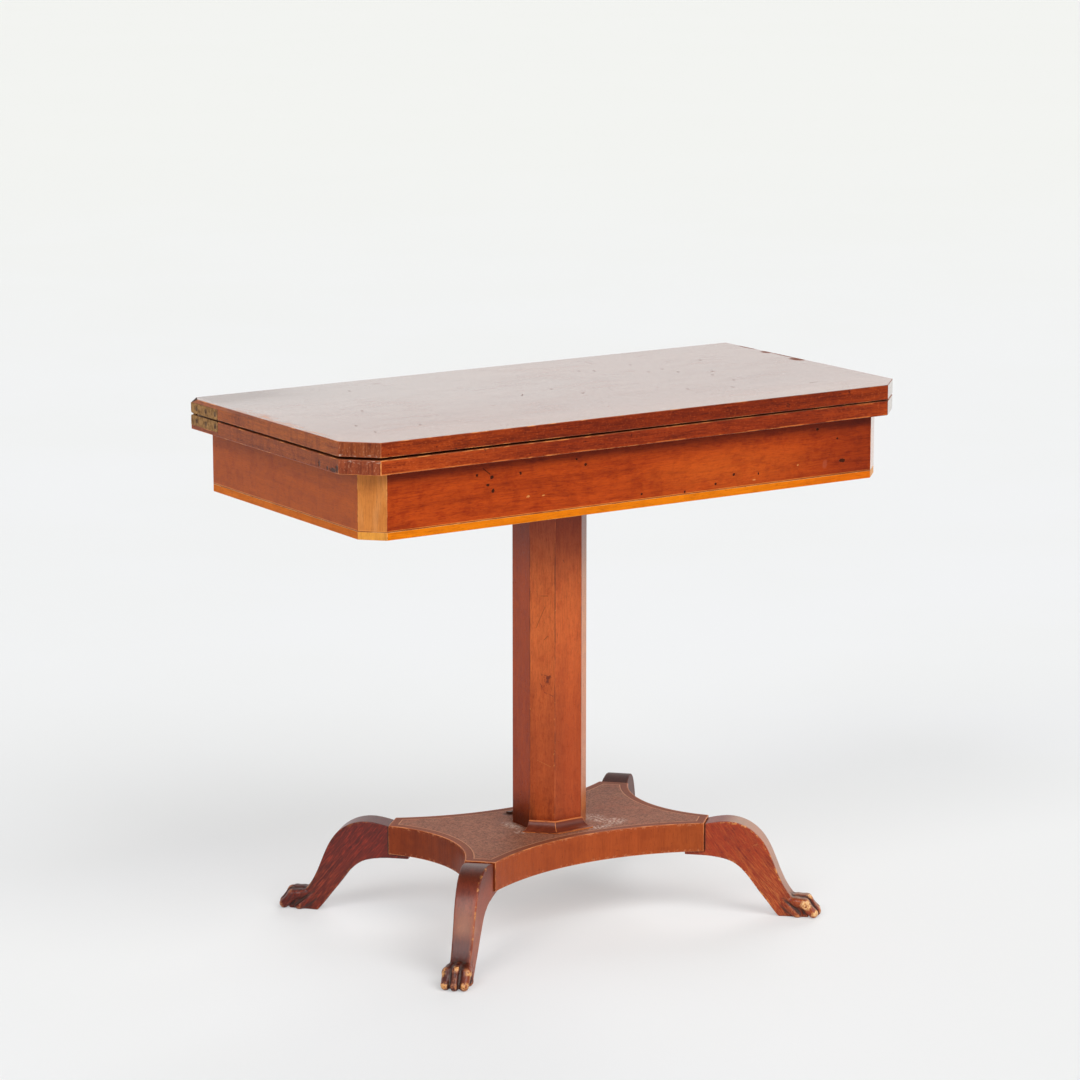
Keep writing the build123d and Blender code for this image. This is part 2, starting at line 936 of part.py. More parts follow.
def toe(offset, shortening, lowering):
    """A toe: a root, a high knuckle and a low pad."""
    root = (toe_root_share * leg_reach, offset * leg_ankle_width / leg_root_width, toe_root_height)
    knuckle_reach = toe_knuckle_share * leg_reach - shortening
    knuckle = (knuckle_reach, offset, toe_knuckle_height - lowering)
    pad = (leg_reach - toe_pad_radius - shortening, offset, toe_pad_height)
    shape = taper(toe_pad_radius, toe_knuckle_radius, root, knuckle)
    shape += ball(toe_pad_radius, root)
    shape += ball(toe_knuckle_radius, knuckle)
    shape += taper(toe_pad_radius, toe_pad_radius, knuckle, pad)
    shape += ball(toe_pad_radius, pad)
    return shape


def side_toe(side):
    """The short toe low on one side of the paw."""
    root_off = side * leg_ankle_width * side_toe_root_across_share
    root = (side_toe_root_share * leg_reach, root_off, side_toe_root_height)
    pad = (side_toe_pad_share * leg_reach, side * side_toe_offset, toe_pad_height)
    shape = taper(side_toe_radius, side_toe_radius, root, pad)
    shape += ball(side_toe_radius, root)
    shape += ball(side_toe_radius, pad)
    return shape


def paw():
    shape = toe(0, 0, 0)
    for side in (-1, 1):
        shape += toe(side * toe_spacing, outer_toe_shortening, outer_toe_lowering)
        shape += side_toe(side)
    floor_cut = block(
        (0, leg_reach + overrun),
        (-leg_root_width, leg_root_width),
        (-leg_top, 0),
    )
    return shape - floor_cut


def leg_shape():
    """One leg in its own frame, with its dowel and screw holes."""
    blank = extrude(leg_profile(), amount=leg_root_width, both=True)
    blank = blank & prism(leg_width_outline(), -overrun, leg_top + overrun)
    shape = blank + paw()
    for hole in leg_dowels_in_place(leg_dowel_radius + glue_fit, leg_dowel_length + glue_fit):
        shape -= hole
    return shape - big_hole(leg_screw_place(), leg_screw_length)


def platform():
    outline = make_face(platform_outline())
    board = Pos(0, 0, platform_bottom) * extrude(outline, amount=platform_thickness)
    start = (0, 0, platform_bottom - overrun)
    end = (0, 0, platform_top + overrun)
    board -= rod(column_tenon_radius + glue_fit, start, end)
    for corner in leg_corners:
        place = leg_place(corner)
        for hole in leg_dowels_in_place(leg_dowel_radius + glue_fit, leg_dowel_length + glue_fit):
            board -= place * hole
        board -= place * big_hole(leg_screw_place(), leg_screw_length)
    return board


def leg_dowels():
    dowels = []
    for corner in leg_corners:
        for dowel in leg_dowels_in_place(leg_dowel_radius, leg_dowel_length):
            dowels.append(leg_place(corner) * dowel)
    return dowels


def leg_screws():
    screw = leg_screw_place() * big_screw(leg_screw_length)
    return [leg_place(corner) * screw for corner in leg_corners]


# All pieces by name

pieces = {
    "upper_leaf": [upper_leaf()],
    "upper_baize": [baize(upper_leaf_bottom, -1)],
    "upper_hinge_pins": hinge_pins(upper_pin_z),
    "upper_hinge_screws": hinge_screws(upper_leaf_bottom, 1),
    "lower_leaf": [lower_leaf()],
    "lower_baize": [baize(lower_leaf_top, 1)],
    "lower_hinge_pins": hinge_pins(lower_pin_z),
    "lower_hinge_screws": hinge_screws(lower_leaf_top, -1),
    "pivot_plate": [pivot_plate()],
    "pivot_bolt": [pivot_bolt()],
    "pivot_nut": [pivot_nut()],
    "pivot_plate_screws": pivot_screws(),
    "stop_peg": [stop_peg()],
    "pivot_washer": [pivot_washer()],
    "pivot_rail": [pivot_rail()],
    "stop_cleat": [stop_cleat()],
    "well_floor": [well_floor()],
    "well_divider": [well_divider()],
    "column_bearer": [column_bearer()],
    "bearer_cleat_front": [bearer_cleat(-rail_inner_front, 1)],
    "bearer_cleat_back": [bearer_cleat(rail_inner_back, -1)],
    "bearer_screws": bearer_screws(),
    "corner_glue_blocks": glue_blocks(),
    "column": [column()],
    "column_upper_wedge": [upper_wedge()],
    "column_lower_wedge": [lower_wedge()],
    "platform": [platform()],
    "leg_dowels": leg_dowels(),
    "leg_screws": leg_screws(),
}

upper_plate = hinge_plate(upper_leaf_bottom, 1, upper_pin_z)
lower_plate = hinge_plate(lower_leaf_top, -1, lower_pin_z)
pieces["upper_hinge_plate_right"] = [upper_plate]
pieces["upper_hinge_plate_left"] = [mirrored(upper_plate)]
pieces["lower_hinge_plate_right"] = [lower_plate]
pieces["lower_hinge_plate_left"] = [mirrored(lower_plate)]
pieces["hinge_link_right"] = [hinge_link()]
pieces["hinge_link_left"] = [mirrored(hinge_link())]

housed_in_rails = {
    "front": [pivot_rail(), well_divider(), well_floor()],
    "back": [pivot_rail(), well_divider(), well_floor()],
    "left": [well_floor()],
    "right": [],
    "corner_left": [well_floor()],
    "corner_right": [],
}
for side, housed in housed_in_rails.items():
    banded = side != "back"
    pieces["frieze_" + side] = [frieze_rail(side, banded, housed)]
    if banded:
        pieces["frieze_band_" + side] = [frieze_band(side)]

leg = leg_shape()
for corner in leg_corners:
    pieces["leg_" + corner] = [leg_place(corner) * leg]

# The faces of the column in the order of its section's corners. The foot
# moulding is lost from four of them.
column_faces = (
    "front_right",
    "right",
    "back_right",
    "back",
    "back_left",
    "left",
    "front_left",
    "front",
)
bare_faces = ("left", "front_right", "right", "back_left")
section = octagon(0)
for index, face_name in enumerate(column_faces):
    if face_name in bare_faces:
        continue
    start_corner = Vector(*section[index])
    end_corner = Vector(*section[(index + 1) % len(section)])
    pieces["foot_moulding_" + face_name] = [moulding_strip(start_corner, end_corner)]

os.makedirs("parts", exist_ok=True)
for name, solids in pieces.items():
    export_step(Compound(solids), "parts/" + name + ".step")
print(len(pieces), "pieces written")
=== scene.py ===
import bmesh
import bpy
import itertools
import json
import math
import numpy as np
from functools import partial
from mathutils import Matrix, Vector

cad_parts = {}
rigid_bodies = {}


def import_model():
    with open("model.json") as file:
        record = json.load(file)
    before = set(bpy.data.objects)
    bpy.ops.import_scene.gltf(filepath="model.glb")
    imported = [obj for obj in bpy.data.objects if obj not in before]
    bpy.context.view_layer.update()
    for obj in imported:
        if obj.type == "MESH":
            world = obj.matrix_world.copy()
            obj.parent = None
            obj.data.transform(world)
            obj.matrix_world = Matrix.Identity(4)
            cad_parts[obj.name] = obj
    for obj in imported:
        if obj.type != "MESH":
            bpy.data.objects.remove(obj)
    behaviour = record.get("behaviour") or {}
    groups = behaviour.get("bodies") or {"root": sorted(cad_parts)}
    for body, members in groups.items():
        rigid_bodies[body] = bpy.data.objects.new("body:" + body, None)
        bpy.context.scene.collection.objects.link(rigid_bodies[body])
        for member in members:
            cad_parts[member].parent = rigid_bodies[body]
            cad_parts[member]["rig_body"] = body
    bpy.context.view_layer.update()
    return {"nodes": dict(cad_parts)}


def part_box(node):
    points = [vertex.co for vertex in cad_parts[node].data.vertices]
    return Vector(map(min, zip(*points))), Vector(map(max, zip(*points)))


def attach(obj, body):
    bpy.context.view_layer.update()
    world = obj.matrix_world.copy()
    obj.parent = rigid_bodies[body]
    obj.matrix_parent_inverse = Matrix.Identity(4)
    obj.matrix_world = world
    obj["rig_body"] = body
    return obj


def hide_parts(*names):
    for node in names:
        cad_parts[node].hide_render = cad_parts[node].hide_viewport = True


# The looks of a folding card table on a pedestal, round its CAD frame.
# Sizes are in millimetres and become metres where a mesh is made. Those of
# the floor and the camera are in metres. The front of the table is at minus
# Y, its hinges are at plus Y.
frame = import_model()
nodes = frame["nodes"]
node_body = {name: node["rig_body"] for name, node in nodes.items()}
millimetre = 0.001

# Sizes of the table that the looks refer to
table_height = 760.0
half_top = 455.0
top_front = -235.0
top_back = 207.5
frieze_front = -220.0
leaf_bottom = 716.8
leaf_parting = 737.2
band_top = 637.3
column_flat = 48.0
column_arris = 22.3
platform_top = 134.0
moulding_top = 148.0
platform_bottom = 92.0
front_arc_centre = 456.6
front_arc_radius = 368.6
side_arc_centre = 334.0
side_arc_radius = 162.5
corner_cut_reach = 309.5
platform_border_width = 10.6
moulding_hollow = 140.0
column_core = 40.0
broken_corner_depth = 5.2
warped_depth = 3.0


def tone(red, green, blue):
    """A colour given in screen values, as the linear one that a shader takes."""
    linear = []
    for value in (red, green, blue):
        share = value / 255
        if share <= 0.04045:
            linear.append(share / 12.92)
        else:
            linear.append(((share + 0.055) / 1.055) ** 2.4)
    return tuple(linear)


# Materials
stroke_softness = 0.3


class Nodes:
    """A tree of shader nodes, added one small step at a time."""

    def __init__(self, tree):
        self.tree = tree
        self.tree.nodes.clear()

    def add(self, kind, **settings):
        """A new node of this kind with these settings."""
        node = self.tree.nodes.new("ShaderNode" + kind)
        for key, value in settings.items():
            setattr(node, key, value)
        return node

    def feed(self, socket, value):
        """Links a socket to another one, or sets its value."""
        if isinstance(value, bpy.types.NodeSocket):
            self.tree.links.new(value, socket)
        elif socket.type == "RGBA":
            socket.default_value = (*value, 1.0)
        else:
            socket.default_value = value

    def fill(self, node, values):
        """Feeds the inputs with these names or numbers, and gives the outputs."""
        for key, value in values.items():
            self.feed(node.inputs[key], value)
        return node.outputs

    def calc(self, operation, *values, clamp=False):
        """A sum or other operation on numbers."""
        node = self.add("Math", operation=operation, use_clamp=clamp)
        return self.fill(node, dict(enumerate(values)))[0]

    def vector(self, operation, *values):
        """An operation on places, which gives a place or a length."""
        node = self.add("VectorMath", operation=operation)
        single = operation in ("LENGTH", "DISTANCE", "DOT_PRODUCT")
        return self.fill(node, dict(enumerate(values)))["Value" if single else "Vector"]

    def join(self, x, y, z):
        """A place from its three coordinates."""
        return self.fill(self.add("CombineXYZ"), {"X": x, "Y": y, "Z": z})[0]

    def step(self, value, low, high, start=0.0, end=1.0):
        """A soft step: start at low, end at high."""
        node = self.add("MapRange", interpolation_type="SMOOTHSTEP")
        inputs = {"Value": value, "From Min": low, "From Max": high, "To Min": start, "To Max": end}
        return self.fill(node, inputs)[0]


class Shader(Nodes):
    """The nodes of one material, whose colour, roughness and relief grow layer by layer."""

    def __init__(self, name, places=None):
        self.material = bpy.data.materials.new(name)
        self.material.use_nodes = True
        super().__init__(self.material.node_tree)
        self.output = self.add("OutputMaterial")
        self.skin = self.add("BsdfPrincipled")
        self.feed(self.output.inputs["Surface"], self.skin.outputs["BSDF"])
        if places:
            coordinates = self.add("Attribute", attribute_name=places).outputs["Vector"]
        else:
            coordinates = self.add("TexCoord").outputs["Object"]
        self.place = self.vector("MULTIPLY", coordinates, (1000.0, 1000.0, 1000.0))
        self.own_place = self.place
        self.colour = (0.8, 0.8, 0.8)
        self.rough = 0.5
        self.height = 0.0
        self.polish = None

    def part(self, axis):
        """One coordinate of the place, in millimetres."""
        return self.fill(self.add("SeparateXYZ"), {0: self.own_place})[axis]

    def noise(self, size, seed=0.0, detail=2.0, rough=0.5, place=None):
        """Soft noise from 0 to 1 whose blobs have this size in millimetres."""
        sizes = size if isinstance(size, tuple) else (size, size, size)
        share = self.vector("DIVIDE", place or self.place, sizes)
        moved = self.vector("ADD", share, (seed, seed * 1.7, seed * 2.3))
        inputs = {"Vector": moved, "Scale": 1.0, "Detail": detail, "Roughness": rough}
        return self.fill(self.add("TexNoise"), inputs)[0]

    def own_noise(self, size, seed, detail, rough):
        """Noise in the piece's own place, which the wood's figure doesn't bend."""
        return self.noise(size, seed, detail, rough, self.own_place)

    def patch(self, size, seed, detail, rough, low, high):
        """Uneven patches: noise in the piece's own place, stepped."""
        return self.step(self.own_noise(size, seed, detail, rough), low, high)

    def baked(self, name):
        """A mask that leg_mesh stores in the mesh under this name."""
        return self.add("Attribute", attribute_name=name).outputs["Fac"]

    def beyond(self, axis, low, high):
        """A soft step along one coordinate: 0 at low, 1 at high."""
        return self.step(self.part(axis), low, high)

    def mix(self, share, first, second, blend="MIX"):
        """The first colour where the share is 0, the second where it is 1. A mix
        of colours has them at inputs 6 and 7, and its result at output 2."""
        node = self.add("Mix", data_type="RGBA", blend_type=blend)
        return self.fill(node, {0: share, 6: first, 7: second})[2]

    def shade(self, mask, colour, strength=1.0):
        """Lays a colour over the surface where the mask is."""
        self.colour = self.mix(self.calc("MULTIPLY", mask, strength), self.colour, colour)

    def stain(self, mask, colour, strength=1.0):
        """Multiplies the surface by a colour where the mask is."""
        share = self.calc("MULTIPLY", mask, strength)
        self.colour = self.mix(share, self.colour, colour, "MULTIPLY")

    def raise_by(self, mask, depth):
        """Adds to the relief, in millimetres, where the mask is."""
        self.height = self.calc("MULTIPLY_ADD", mask, depth, self.height)

    def roughen(self, mask, amount):
        """Adds to the roughness where the mask is."""
        self.rough = self.calc("MULTIPLY_ADD", mask, amount, self.rough)

    def both(self, *masks):
        """Where all the masks are."""
        return self.several("MULTIPLY", masks)

    def any_of(self, *masks):
        """Where at least one mask is."""
        return self.several("MAXIMUM", masks)

    def several(self, operation, values):
        """One operation through all the values."""
        result = values[0]
        for value in values[1:]:
            result = self.calc(operation, result, value)
        return result

    def line(self, value, middle, half, soft=0.3):
        """A line where a value, in millimetres, passes its middle."""
        away = self.calc("ABSOLUTE", self.calc("SUBTRACT", value, middle))
        return self.step(away, half + soft, half - soft)

    def ragged(self, size=5.0, reach=2.0, seed=9.0):
        """The place, shaken a little, so that marks get uneven outlines."""
        shake = self.own_noise(size, seed, 3.0, 0.6)
        moved = self.calc("MULTIPLY", self.calc("SUBTRACT", shake, 0.5), reach * 2)
        return self.vector("ADD", self.own_place, self.join(moved, moved, moved))

    def spots(self, marks, soft=0.35, place=None):
        """Round or oval marks: each row is a place and one or three half sizes."""
        base = place or self.ragged()
        found = []
        for x, y, z, *half in marks:
            sizes = tuple(half) if len(half) == 3 else half * 3
            away = self.vector("DIVIDE", self.vector("SUBTRACT", base, (x, y, z)), sizes)
            found.append(self.step(self.vector("LENGTH", away), 1.0 + soft, 1.0 - soft))
        return self.any_of(*found)

    def strokes(self, rows):
        """Thin straight scratches: each row is two places and half a width."""
        return self.any_of(*(self.stroke(row[:3], row[3:6], row[6]) for row in rows))

    def stroke(self, start, end, half):
        """A straight scratch between two places."""
        begin, run = Vector(start), Vector(end) - Vector(start)
        away = self.vector("SUBTRACT", self.own_place, tuple(begin))
        share = self.vector("DOT_PRODUCT", away, tuple(run / run.length_squared))
        kept = self.calc("MINIMUM", self.calc("MAXIMUM", share, 0.0), 1.0)
        foot = self.join(*(self.calc("MULTIPLY", kept, value) for value in run))
        gap = self.vector("DISTANCE", away, foot)
        return self.step(gap, half + stroke_softness, max(half - stroke_softness, 0.0))

    def hairlines(self, size, seed, width=0.012, some=(0.56, 0.62)):
        """Fine scratches: where a stretched noise passes its middle, here and there."""
        value = self.own_noise(size, seed, 1.0, 0.4)
        away = self.calc("ABSOLUTE", self.calc("SUBTRACT", value, 0.5))
        thin = self.step(away, width, 0.0)
        here = self.own_noise(60.0, seed + 3.3, 2.0, 0.6)
        return self.both(thin, self.step(here, *some))

    def done(self, specular=0.5, coat=0.0, coat_rough=0.1, metal=0.0, sheen=0.0):
        """The material, with all layers given to its skin."""
        inputs = {
            "Base Color": self.colour,
            "Roughness": self.rough,
            "Specular IOR Level": specular,
            "Coat Weight": self.polish or coat,
            "Coat Roughness": coat_rough,
            "Metallic": metal,
            "Sheen Weight": sheen,
        }
        if isinstance(self.height, bpy.types.NodeSocket):
            relief = {"Strength": 1.0, "Distance": millimetre, "Height": self.height}
            inputs["Normal"] = self.fill(self.add("Bump"), relief)[0]
        self.fill(self.skin, inputs)
        return self.material


class Wood(Shader):
    """Wood with figure, streaks and pores along one axis."""

    def __init__(
        self, name, dark, mid, light, axis, seed, figure=14.0, rough=0.35, streaky=0.3,
        grain=0.5, mottle=0.3, turn=None, places=None,
    ):
        super().__init__(name, places)
        if turn is not None:
            node = self.add("VectorRotate", rotation_type="Y_AXIS")
            self.place = self.fill(node, {"Vector": self.place, "Angle": math.radians(turn)})[0]
        self.axis = axis
        self.rough = rough
        wander = self.noise(self.along(230.0, 60.0), seed)
        bend = self.calc("MULTIPLY", self.calc("SUBTRACT", wander, 0.5), figure * 1.6)
        self.place = self.vector("ADD", self.place, self.join(bend, bend, bend))
        figured = self.noise(self.along(figure * 14, figure), seed + 1.1, 4.0, 0.6)
        ramp = self.add("ValToRGB")
        self.feed(ramp.inputs[0], figured)
        first, last = ramp.color_ramp.elements
        first.position, first.color = 0.30, (*dark, 1.0)
        last.position, last.color = 0.72, (*light, 1.0)
        ramp.color_ramp.elements.new(0.5).color = (*mid, 1.0)
        self.colour = ramp.outputs[0]
        streaks = self.noise(self.along(150.0, 2.6), seed + 2.2, 2.0, 0.6)
        self.stain(self.step(streaks, 0.50, 0.80), (0.62, 0.50, 0.46), streaky)
        lines = self.noise(self.along(24.0, 1.5), seed + 7.7, 2.0, 0.65)
        self.stain(self.step(lines, 0.48, 0.66), (0.60, 0.48, 0.42), grain)
        self.shade(self.step(lines, 0.44, 0.28), light, grain * 0.8)
        flame = self.noise(self.along(20.0, 30.0), seed + 8.8, 4.0, 0.65)
        self.stain(self.step(flame, 0.48, 0.66), (0.70, 0.58, 0.54), mottle)
        pores = self.noise(self.along(9.0, 0.6), seed + 3.3, 1.0, 0.5)
        pore = self.step(pores, 0.60, 0.74)
        self.stain(pore, (0.45, 0.36, 0.34), 0.6)
        self.raise_by(pore, -0.06)
        cloud = self.noise(self.along(260.0, 90.0), seed + 4.4, 2.0, 0.5)
        self.stain(self.step(cloud, 0.62, 0.32), (0.82, 0.74, 0.72), 0.4)
        dust = self.noise(3.0, seed + 5.5, 3.0, 0.7)
        self.roughen(self.calc("SUBTRACT", dust, 0.5), 0.16)
        wave = self.noise(self.along(120.0, 34.0), seed + 6.6, 1.0, 0.5)
        self.raise_by(wave, 0.22)

    def along(self, length, across):
        """A noise size that is long along the grain."""
        return tuple(length if name == self.axis else across for name in "XYZ")

    def smudges(self, size, seed, colour, strength):
        """Uneven patches, such as dirt and rubbed polish leave."""
        self.stain(self.patch(size, seed, 4.0, 0.7, 0.50, 0.64), colour, strength)


def warm(mid, contrast=0.2):
    """Three tones of a wood from its middle one."""
    red, green, blue = mid
    dark, light = 1 - contrast, 1 + contrast * 0.8
    low = (red * dark, green * dark**1.3, blue * dark**1.3)
    high = (min(red * light, 0.92), min(green * light**1.4, 0.92), blue * light**1.3)
    return low, mid, high


# Tones of the woods, as linear colours before light falls on them
golden = tone(226, 158, 86)
pale_scrape = tone(226, 196, 176)
dark_mark = (0.045, 0.010, 0.003)
# Colour of painted shade in the legs' grooves, hollows and root joints.
painted_crevice_shade = (0.045, 0.020, 0.014)


def top_marks(wood):
    """The polished top: rubbed by years of use, worn brown along its left end, and with a painted
    reflection that makes it paler towards the front and the right.
    """
    x = wood.part("X")
    # Painted reflection: the top paler towards its front edge and towards its right.
    front = wood.beyond("Y", -90.0, -235.0)
    wood.shade(front, tone(220, 178, 158), 0.2)
    wood.shade(wood.step(x, 60.0, 400.0), tone(176, 164, 158), 0.1)
    patch = wood.own_noise((14.0, 40.0, 60.0), 31.0, 4.0, 0.65)
    worn = wood.spots([
        (-448.0, 10.0, table_height, 10.0, 66.0, 9.0),
        (-452.0, -100.0, table_height, 5.0, 60.0, 9.0),
    ], soft=0.8, place=wood.ragged(24.0, 16.0, 33.0))
    strip = wood.both(worn, wood.step(patch, 0.36, 0.62))
    wood.shade(strip, tone(200, 124, 76), 0.9)
    wood.roughen(strip, 0.3)
    faint = wood.both(wood.step(x, -400.0, -440.0), wood.step(patch, 0.50, 0.66))
    wood.shade(faint, tone(200, 136, 98), 0.3)
    fine = wood.hairlines((90.0, 9.0, 20.0), 40.0, 0.008)
    cross = wood.hairlines((30.0, 40.0, 20.0), 44.0, 0.006, (0.60, 0.66))
    wood.stain(wood.any_of(fine, cross), (0.50, 0.44, 0.42), 0.45)
    dark_speck = wood.patch(5.0, 47.0, 2.0, 0.5, 0.74, 0.78)
    places = [
        (-244.0, 136.0), (-312.0, -14.0), (-380.0, -162.0), (-378.0, -109.0),
        (0.0, -4.0), (-303.0, -149.0), (120.0, 105.0), (138.0, 93.0), (18.0, -56.0),
        (213.0, 109.0), (199.0, 43.0), (230.0, 54.0), (234.0, 20.0), (324.0, 91.0),
        (280.0, 0.0), (260.0, -29.0), (259.0, -81.0), (222.0, -129.0), (160.0, -109.0),
    ]
    dents = wood.spots([(*place, table_height, 1.7, 3.0, 2.0) for place in places])
    curls = wood.strokes([
        (333.0, -161.0, table_height, 350.0, -158.0, table_height, 0.8),
        (-66.0, -30.0, table_height, -58.0, -20.0, table_height, 0.8),
    ])
    dark_speck = wood.any_of(dark_speck, dents, curls)
    wood.shade(dark_speck, dark_mark, 0.75)
    wood.roughen(wood.patch((130.0, 60.0, 60.0), 49.0, 3.0, 0.6, 0.45, 0.70), 0.06)
    wood.roughen(wood.any_of(fine, cross, dark_speck), 0.25)
    chips = wood.spots([
        (450.0, 98.0, table_height, 7.0, 10.0, 6.0), (448.0, 20.0, table_height, 9.0, 14.0, 6.0),
        (453.0, 60.0, table_height, 3.0, 30.0, 6.0), (453.0, 150.0, table_height, 3.0, 20.0, 6.0),
    ])
    wood.shade(chips, tone(112, 56, 32), 0.9)
    wood.roughen(chips, 0.5)
    dull = wood.calc("MULTIPLY", strip, 0.45)
    bare = wood.calc("MULTIPLY", wood.any_of(chips, dents, curls), 0.9)
    wood.polish = wood.calc("SUBTRACT", 0.9, wood.any_of(dull, bare), clamp=True)


def worn_lips(wood):
    """Golden lines, here and there, where the front of the lower leaf is rubbed."""
    z = wood.part("Z")
    rub = wood.own_noise((34.0, 34.0, 9.0), 53.0, 4.0, 0.65)
    left = wood.calc("MULTIPLY", wood.beyond("X", 0.0, -330.0), 0.10)
    rub = wood.calc("ADD", rub, left)
    low = wood.both(wood.line(z, leaf_bottom + 1.2, 0.8, 0.6), wood.step(rub, 0.46, 0.58))
    high = wood.both(wood.line(z, leaf_parting - 1.2, 0.6, 0.6), wood.step(rub, 0.56, 0.66))
    wood.shade(wood.any_of(low, high), tone(222, 120, 54), 0.7)


def edge_marks(wood):
    """The edges of the leaves: small knocks and rubbed places."""
    wood.stain(wood.patch((9.0, 9.0, 6.0), 52.0, 3.0, 0.6, 0.66, 0.72), (0.35, 0.28, 0.26), 0.9)
    fleck = wood.own_noise((3.6, 3.6, 1.8), 55.0, 2.0, 0.6)
    wood.shade(wood.step(fleck, 0.58, 0.68), tone(200, 96, 44), 0.45)
    wood.stain(wood.step(fleck, 0.42, 0.32), (0.60, 0.48, 0.44), 0.6)
    x = wood.part("X")
    middle = wood.both(wood.step(x, -330.0, -150.0), wood.step(x, 520.0, 250.0))
    wood.stain(middle, (0.60, 0.42, 0.38), 0.75)


def lower_edge_marks(wood):
    """The front of the lower leaf: knocks, and lips rubbed golden."""
    edge_marks(wood)
    worn_lips(wood)


def end_marks(wood):
    """The left ends: crossbanded pieces of differing tone, with knocks and
    dark gaps where veneer is lost from the lower one."""
    edge_marks(wood)
    wood.stain(wood.patch((60.0, 11.0, 60.0), 59.0, 2.0, 0.5, 0.50, 0.62), (0.72, 0.62, 0.56), 0.7)
    lost = wood.spots([
        (-half_top, -145.0, 724.0, 4.0, 2.2, 4.5), (-half_top, -181.0, 720.5, 4.0, 9.0, 2.6),
        (-half_top, -191.0, 724.0, 4.0, 3.0, 5.0), (-half_top, -166.0, 721.0, 4.0, 2.5, 2.5),
    ], place=wood.ragged(3.0, 3.0, 58.0))
    wood.shade(lost, tone(60, 26, 14), 0.9)
    wood.raise_by(lost, -0.6)


def cant_marks(wood, low, high):
    """A leaf's cut corner, with white scrapes near one edge."""
    near_edge = wood.beyond("Z", low, high)
    scraped = wood.both(near_edge, wood.patch((5.0, 5.0, 2.0), 57.0, 3.0, 0.7, 0.54, 0.62))
    wood.shade(scraped, pale_scrape, 0.8)
    fleck = wood.own_noise((2.2, 2.2, 4.4), 54.0, 3.0, 0.6)
    wood.shade(wood.step(fleck, 0.58, 0.68), tone(206, 150, 116), 0.4)
    wood.stain(wood.step(fleck, 0.46, 0.36), (0.62, 0.48, 0.44), 0.6)


def frieze_lines(wood):
    """A dark and a light string inlaid above the band."""
    z = wood.part("Z")
    wood.shade(wood.line(z, band_top + 0.5, 0.5), tone(92, 40, 22), 0.8)
    wood.shade(wood.line(z, band_top + 1.7, 0.5), tone(222, 140, 66), 0.7)
    return z


# Dents of the frieze's front: X, Z and half sizes
front_dents = [
    (-236.4, 694.0, 2.6), (-242.7, 684.1, 2.2), (-234.4, 675.7, 2.4), (-259.5, 699.0, 1.8),
    (-191.3, 694.8, 2.2), (-87.4, 695.8, 2.0), (-102.1, 704.5, 1.8), (302.7, 705.5, 2.2),
    (346.9, 656.7, 5.2, 4.0, 3.0), (337.7, 689.0, 1.6), (159.0, 656.6, 1.9),
    (201.0, 653.4, 1.7), (128.2, 646.6, 1.8), (76.6, 641.3, 1.6), (4.4, 645.6, 1.7),
]


def frieze_front_marks(wood):
    """The long front of the frieze: dents, scratches and a lighter cloud."""
    front = frieze_front
    z = frieze_lines(wood)
    cloud = wood.spots([(150.0, front, 664.0, 120.0, 60.0, 24.0)], soft=0.8)
    wood.shade(cloud, tone(226, 112, 34), 0.25)
    wood.stain(wood.beyond("X", 240.0, 400.0), (0.60, 0.48, 0.48), 0.8)
    shadow = wood.step(z, 698.0, 711.5)
    wood.stain(shadow, (0.44, 0.32, 0.30), 0.85)
    wood.smudges((28.0, 28.0, 15.0), 62.0, (0.74, 0.56, 0.52), 0.55)
    wood.smudges((7.0, 7.0, 2.0), 64.0, (0.78, 0.62, 0.56), 0.5)
    dents = wood.spots([(x, front, z, *half) for x, z, *half in front_dents], soft=0.15)
    scratch = wood.strokes([(-250.1, front, 707.1, -239.2, front, 698.5, 0.5)])
    mark = wood.any_of(dents, scratch)
    wood.shade(mark, dark_mark, 0.97)
    wood.raise_by(mark, -0.5)
    wood.roughen(mark, 0.5)
    wood.shade(wood.spots([(316.5, front, 654.8, 3.5, 4.0, 6.0)]), tone(190, 104, 78), 0.22)
    light = wood.spots([
        (193.5, front, 645.0, 2.6, 3.0, 1.2), (269.5, front, 658.7, 1.4, 3.0, 0.9),
        (-179.0, front, 662.0, 2.4, 3.0, 1.2), (-155.0, front, 661.0, 2.0, 3.0, 1.1),
        (-289.0, front, 637.0, 3.0, 3.0, 1.2),
    ])
    wood.shade(light, golden, 0.6)


def band_marks(wood):
    """The band along the front, redder towards its right end."""
    wood.stain(wood.beyond("X", 180.0, 360.0), (0.96, 0.76, 0.80), 0.9)


def frieze_side_marks(wood):
    """The ends of the frieze: a shadow under the top, and dull patches."""
    z = frieze_lines(wood)
    shadow = wood.step(z, 702.0, 714.0)
    wood.stain(shadow, (0.62, 0.52, 0.50), 0.8)
    wood.smudges((26.0, 26.0, 15.0), 66.0, (0.84, 0.72, 0.66), 0.6)
    wood.smudges((6.0, 6.0, 3.0), 67.0, (0.86, 0.76, 0.70), 0.5)
    wood.stain(wood.patch(8.0, 61.0, 2.0, 0.5, 0.73, 0.78), (0.30, 0.22, 0.20), 0.9)


def frieze_cant_marks(wood):
    """The light corners of the frieze."""
    frieze_lines(wood)
    pale = wood.patch((16.0, 16.0, 90.0), 63.0, 2.0, 0.5, 0.50, 0.70)
    wood.shade(pale, tone(238, 184, 122), 0.15)


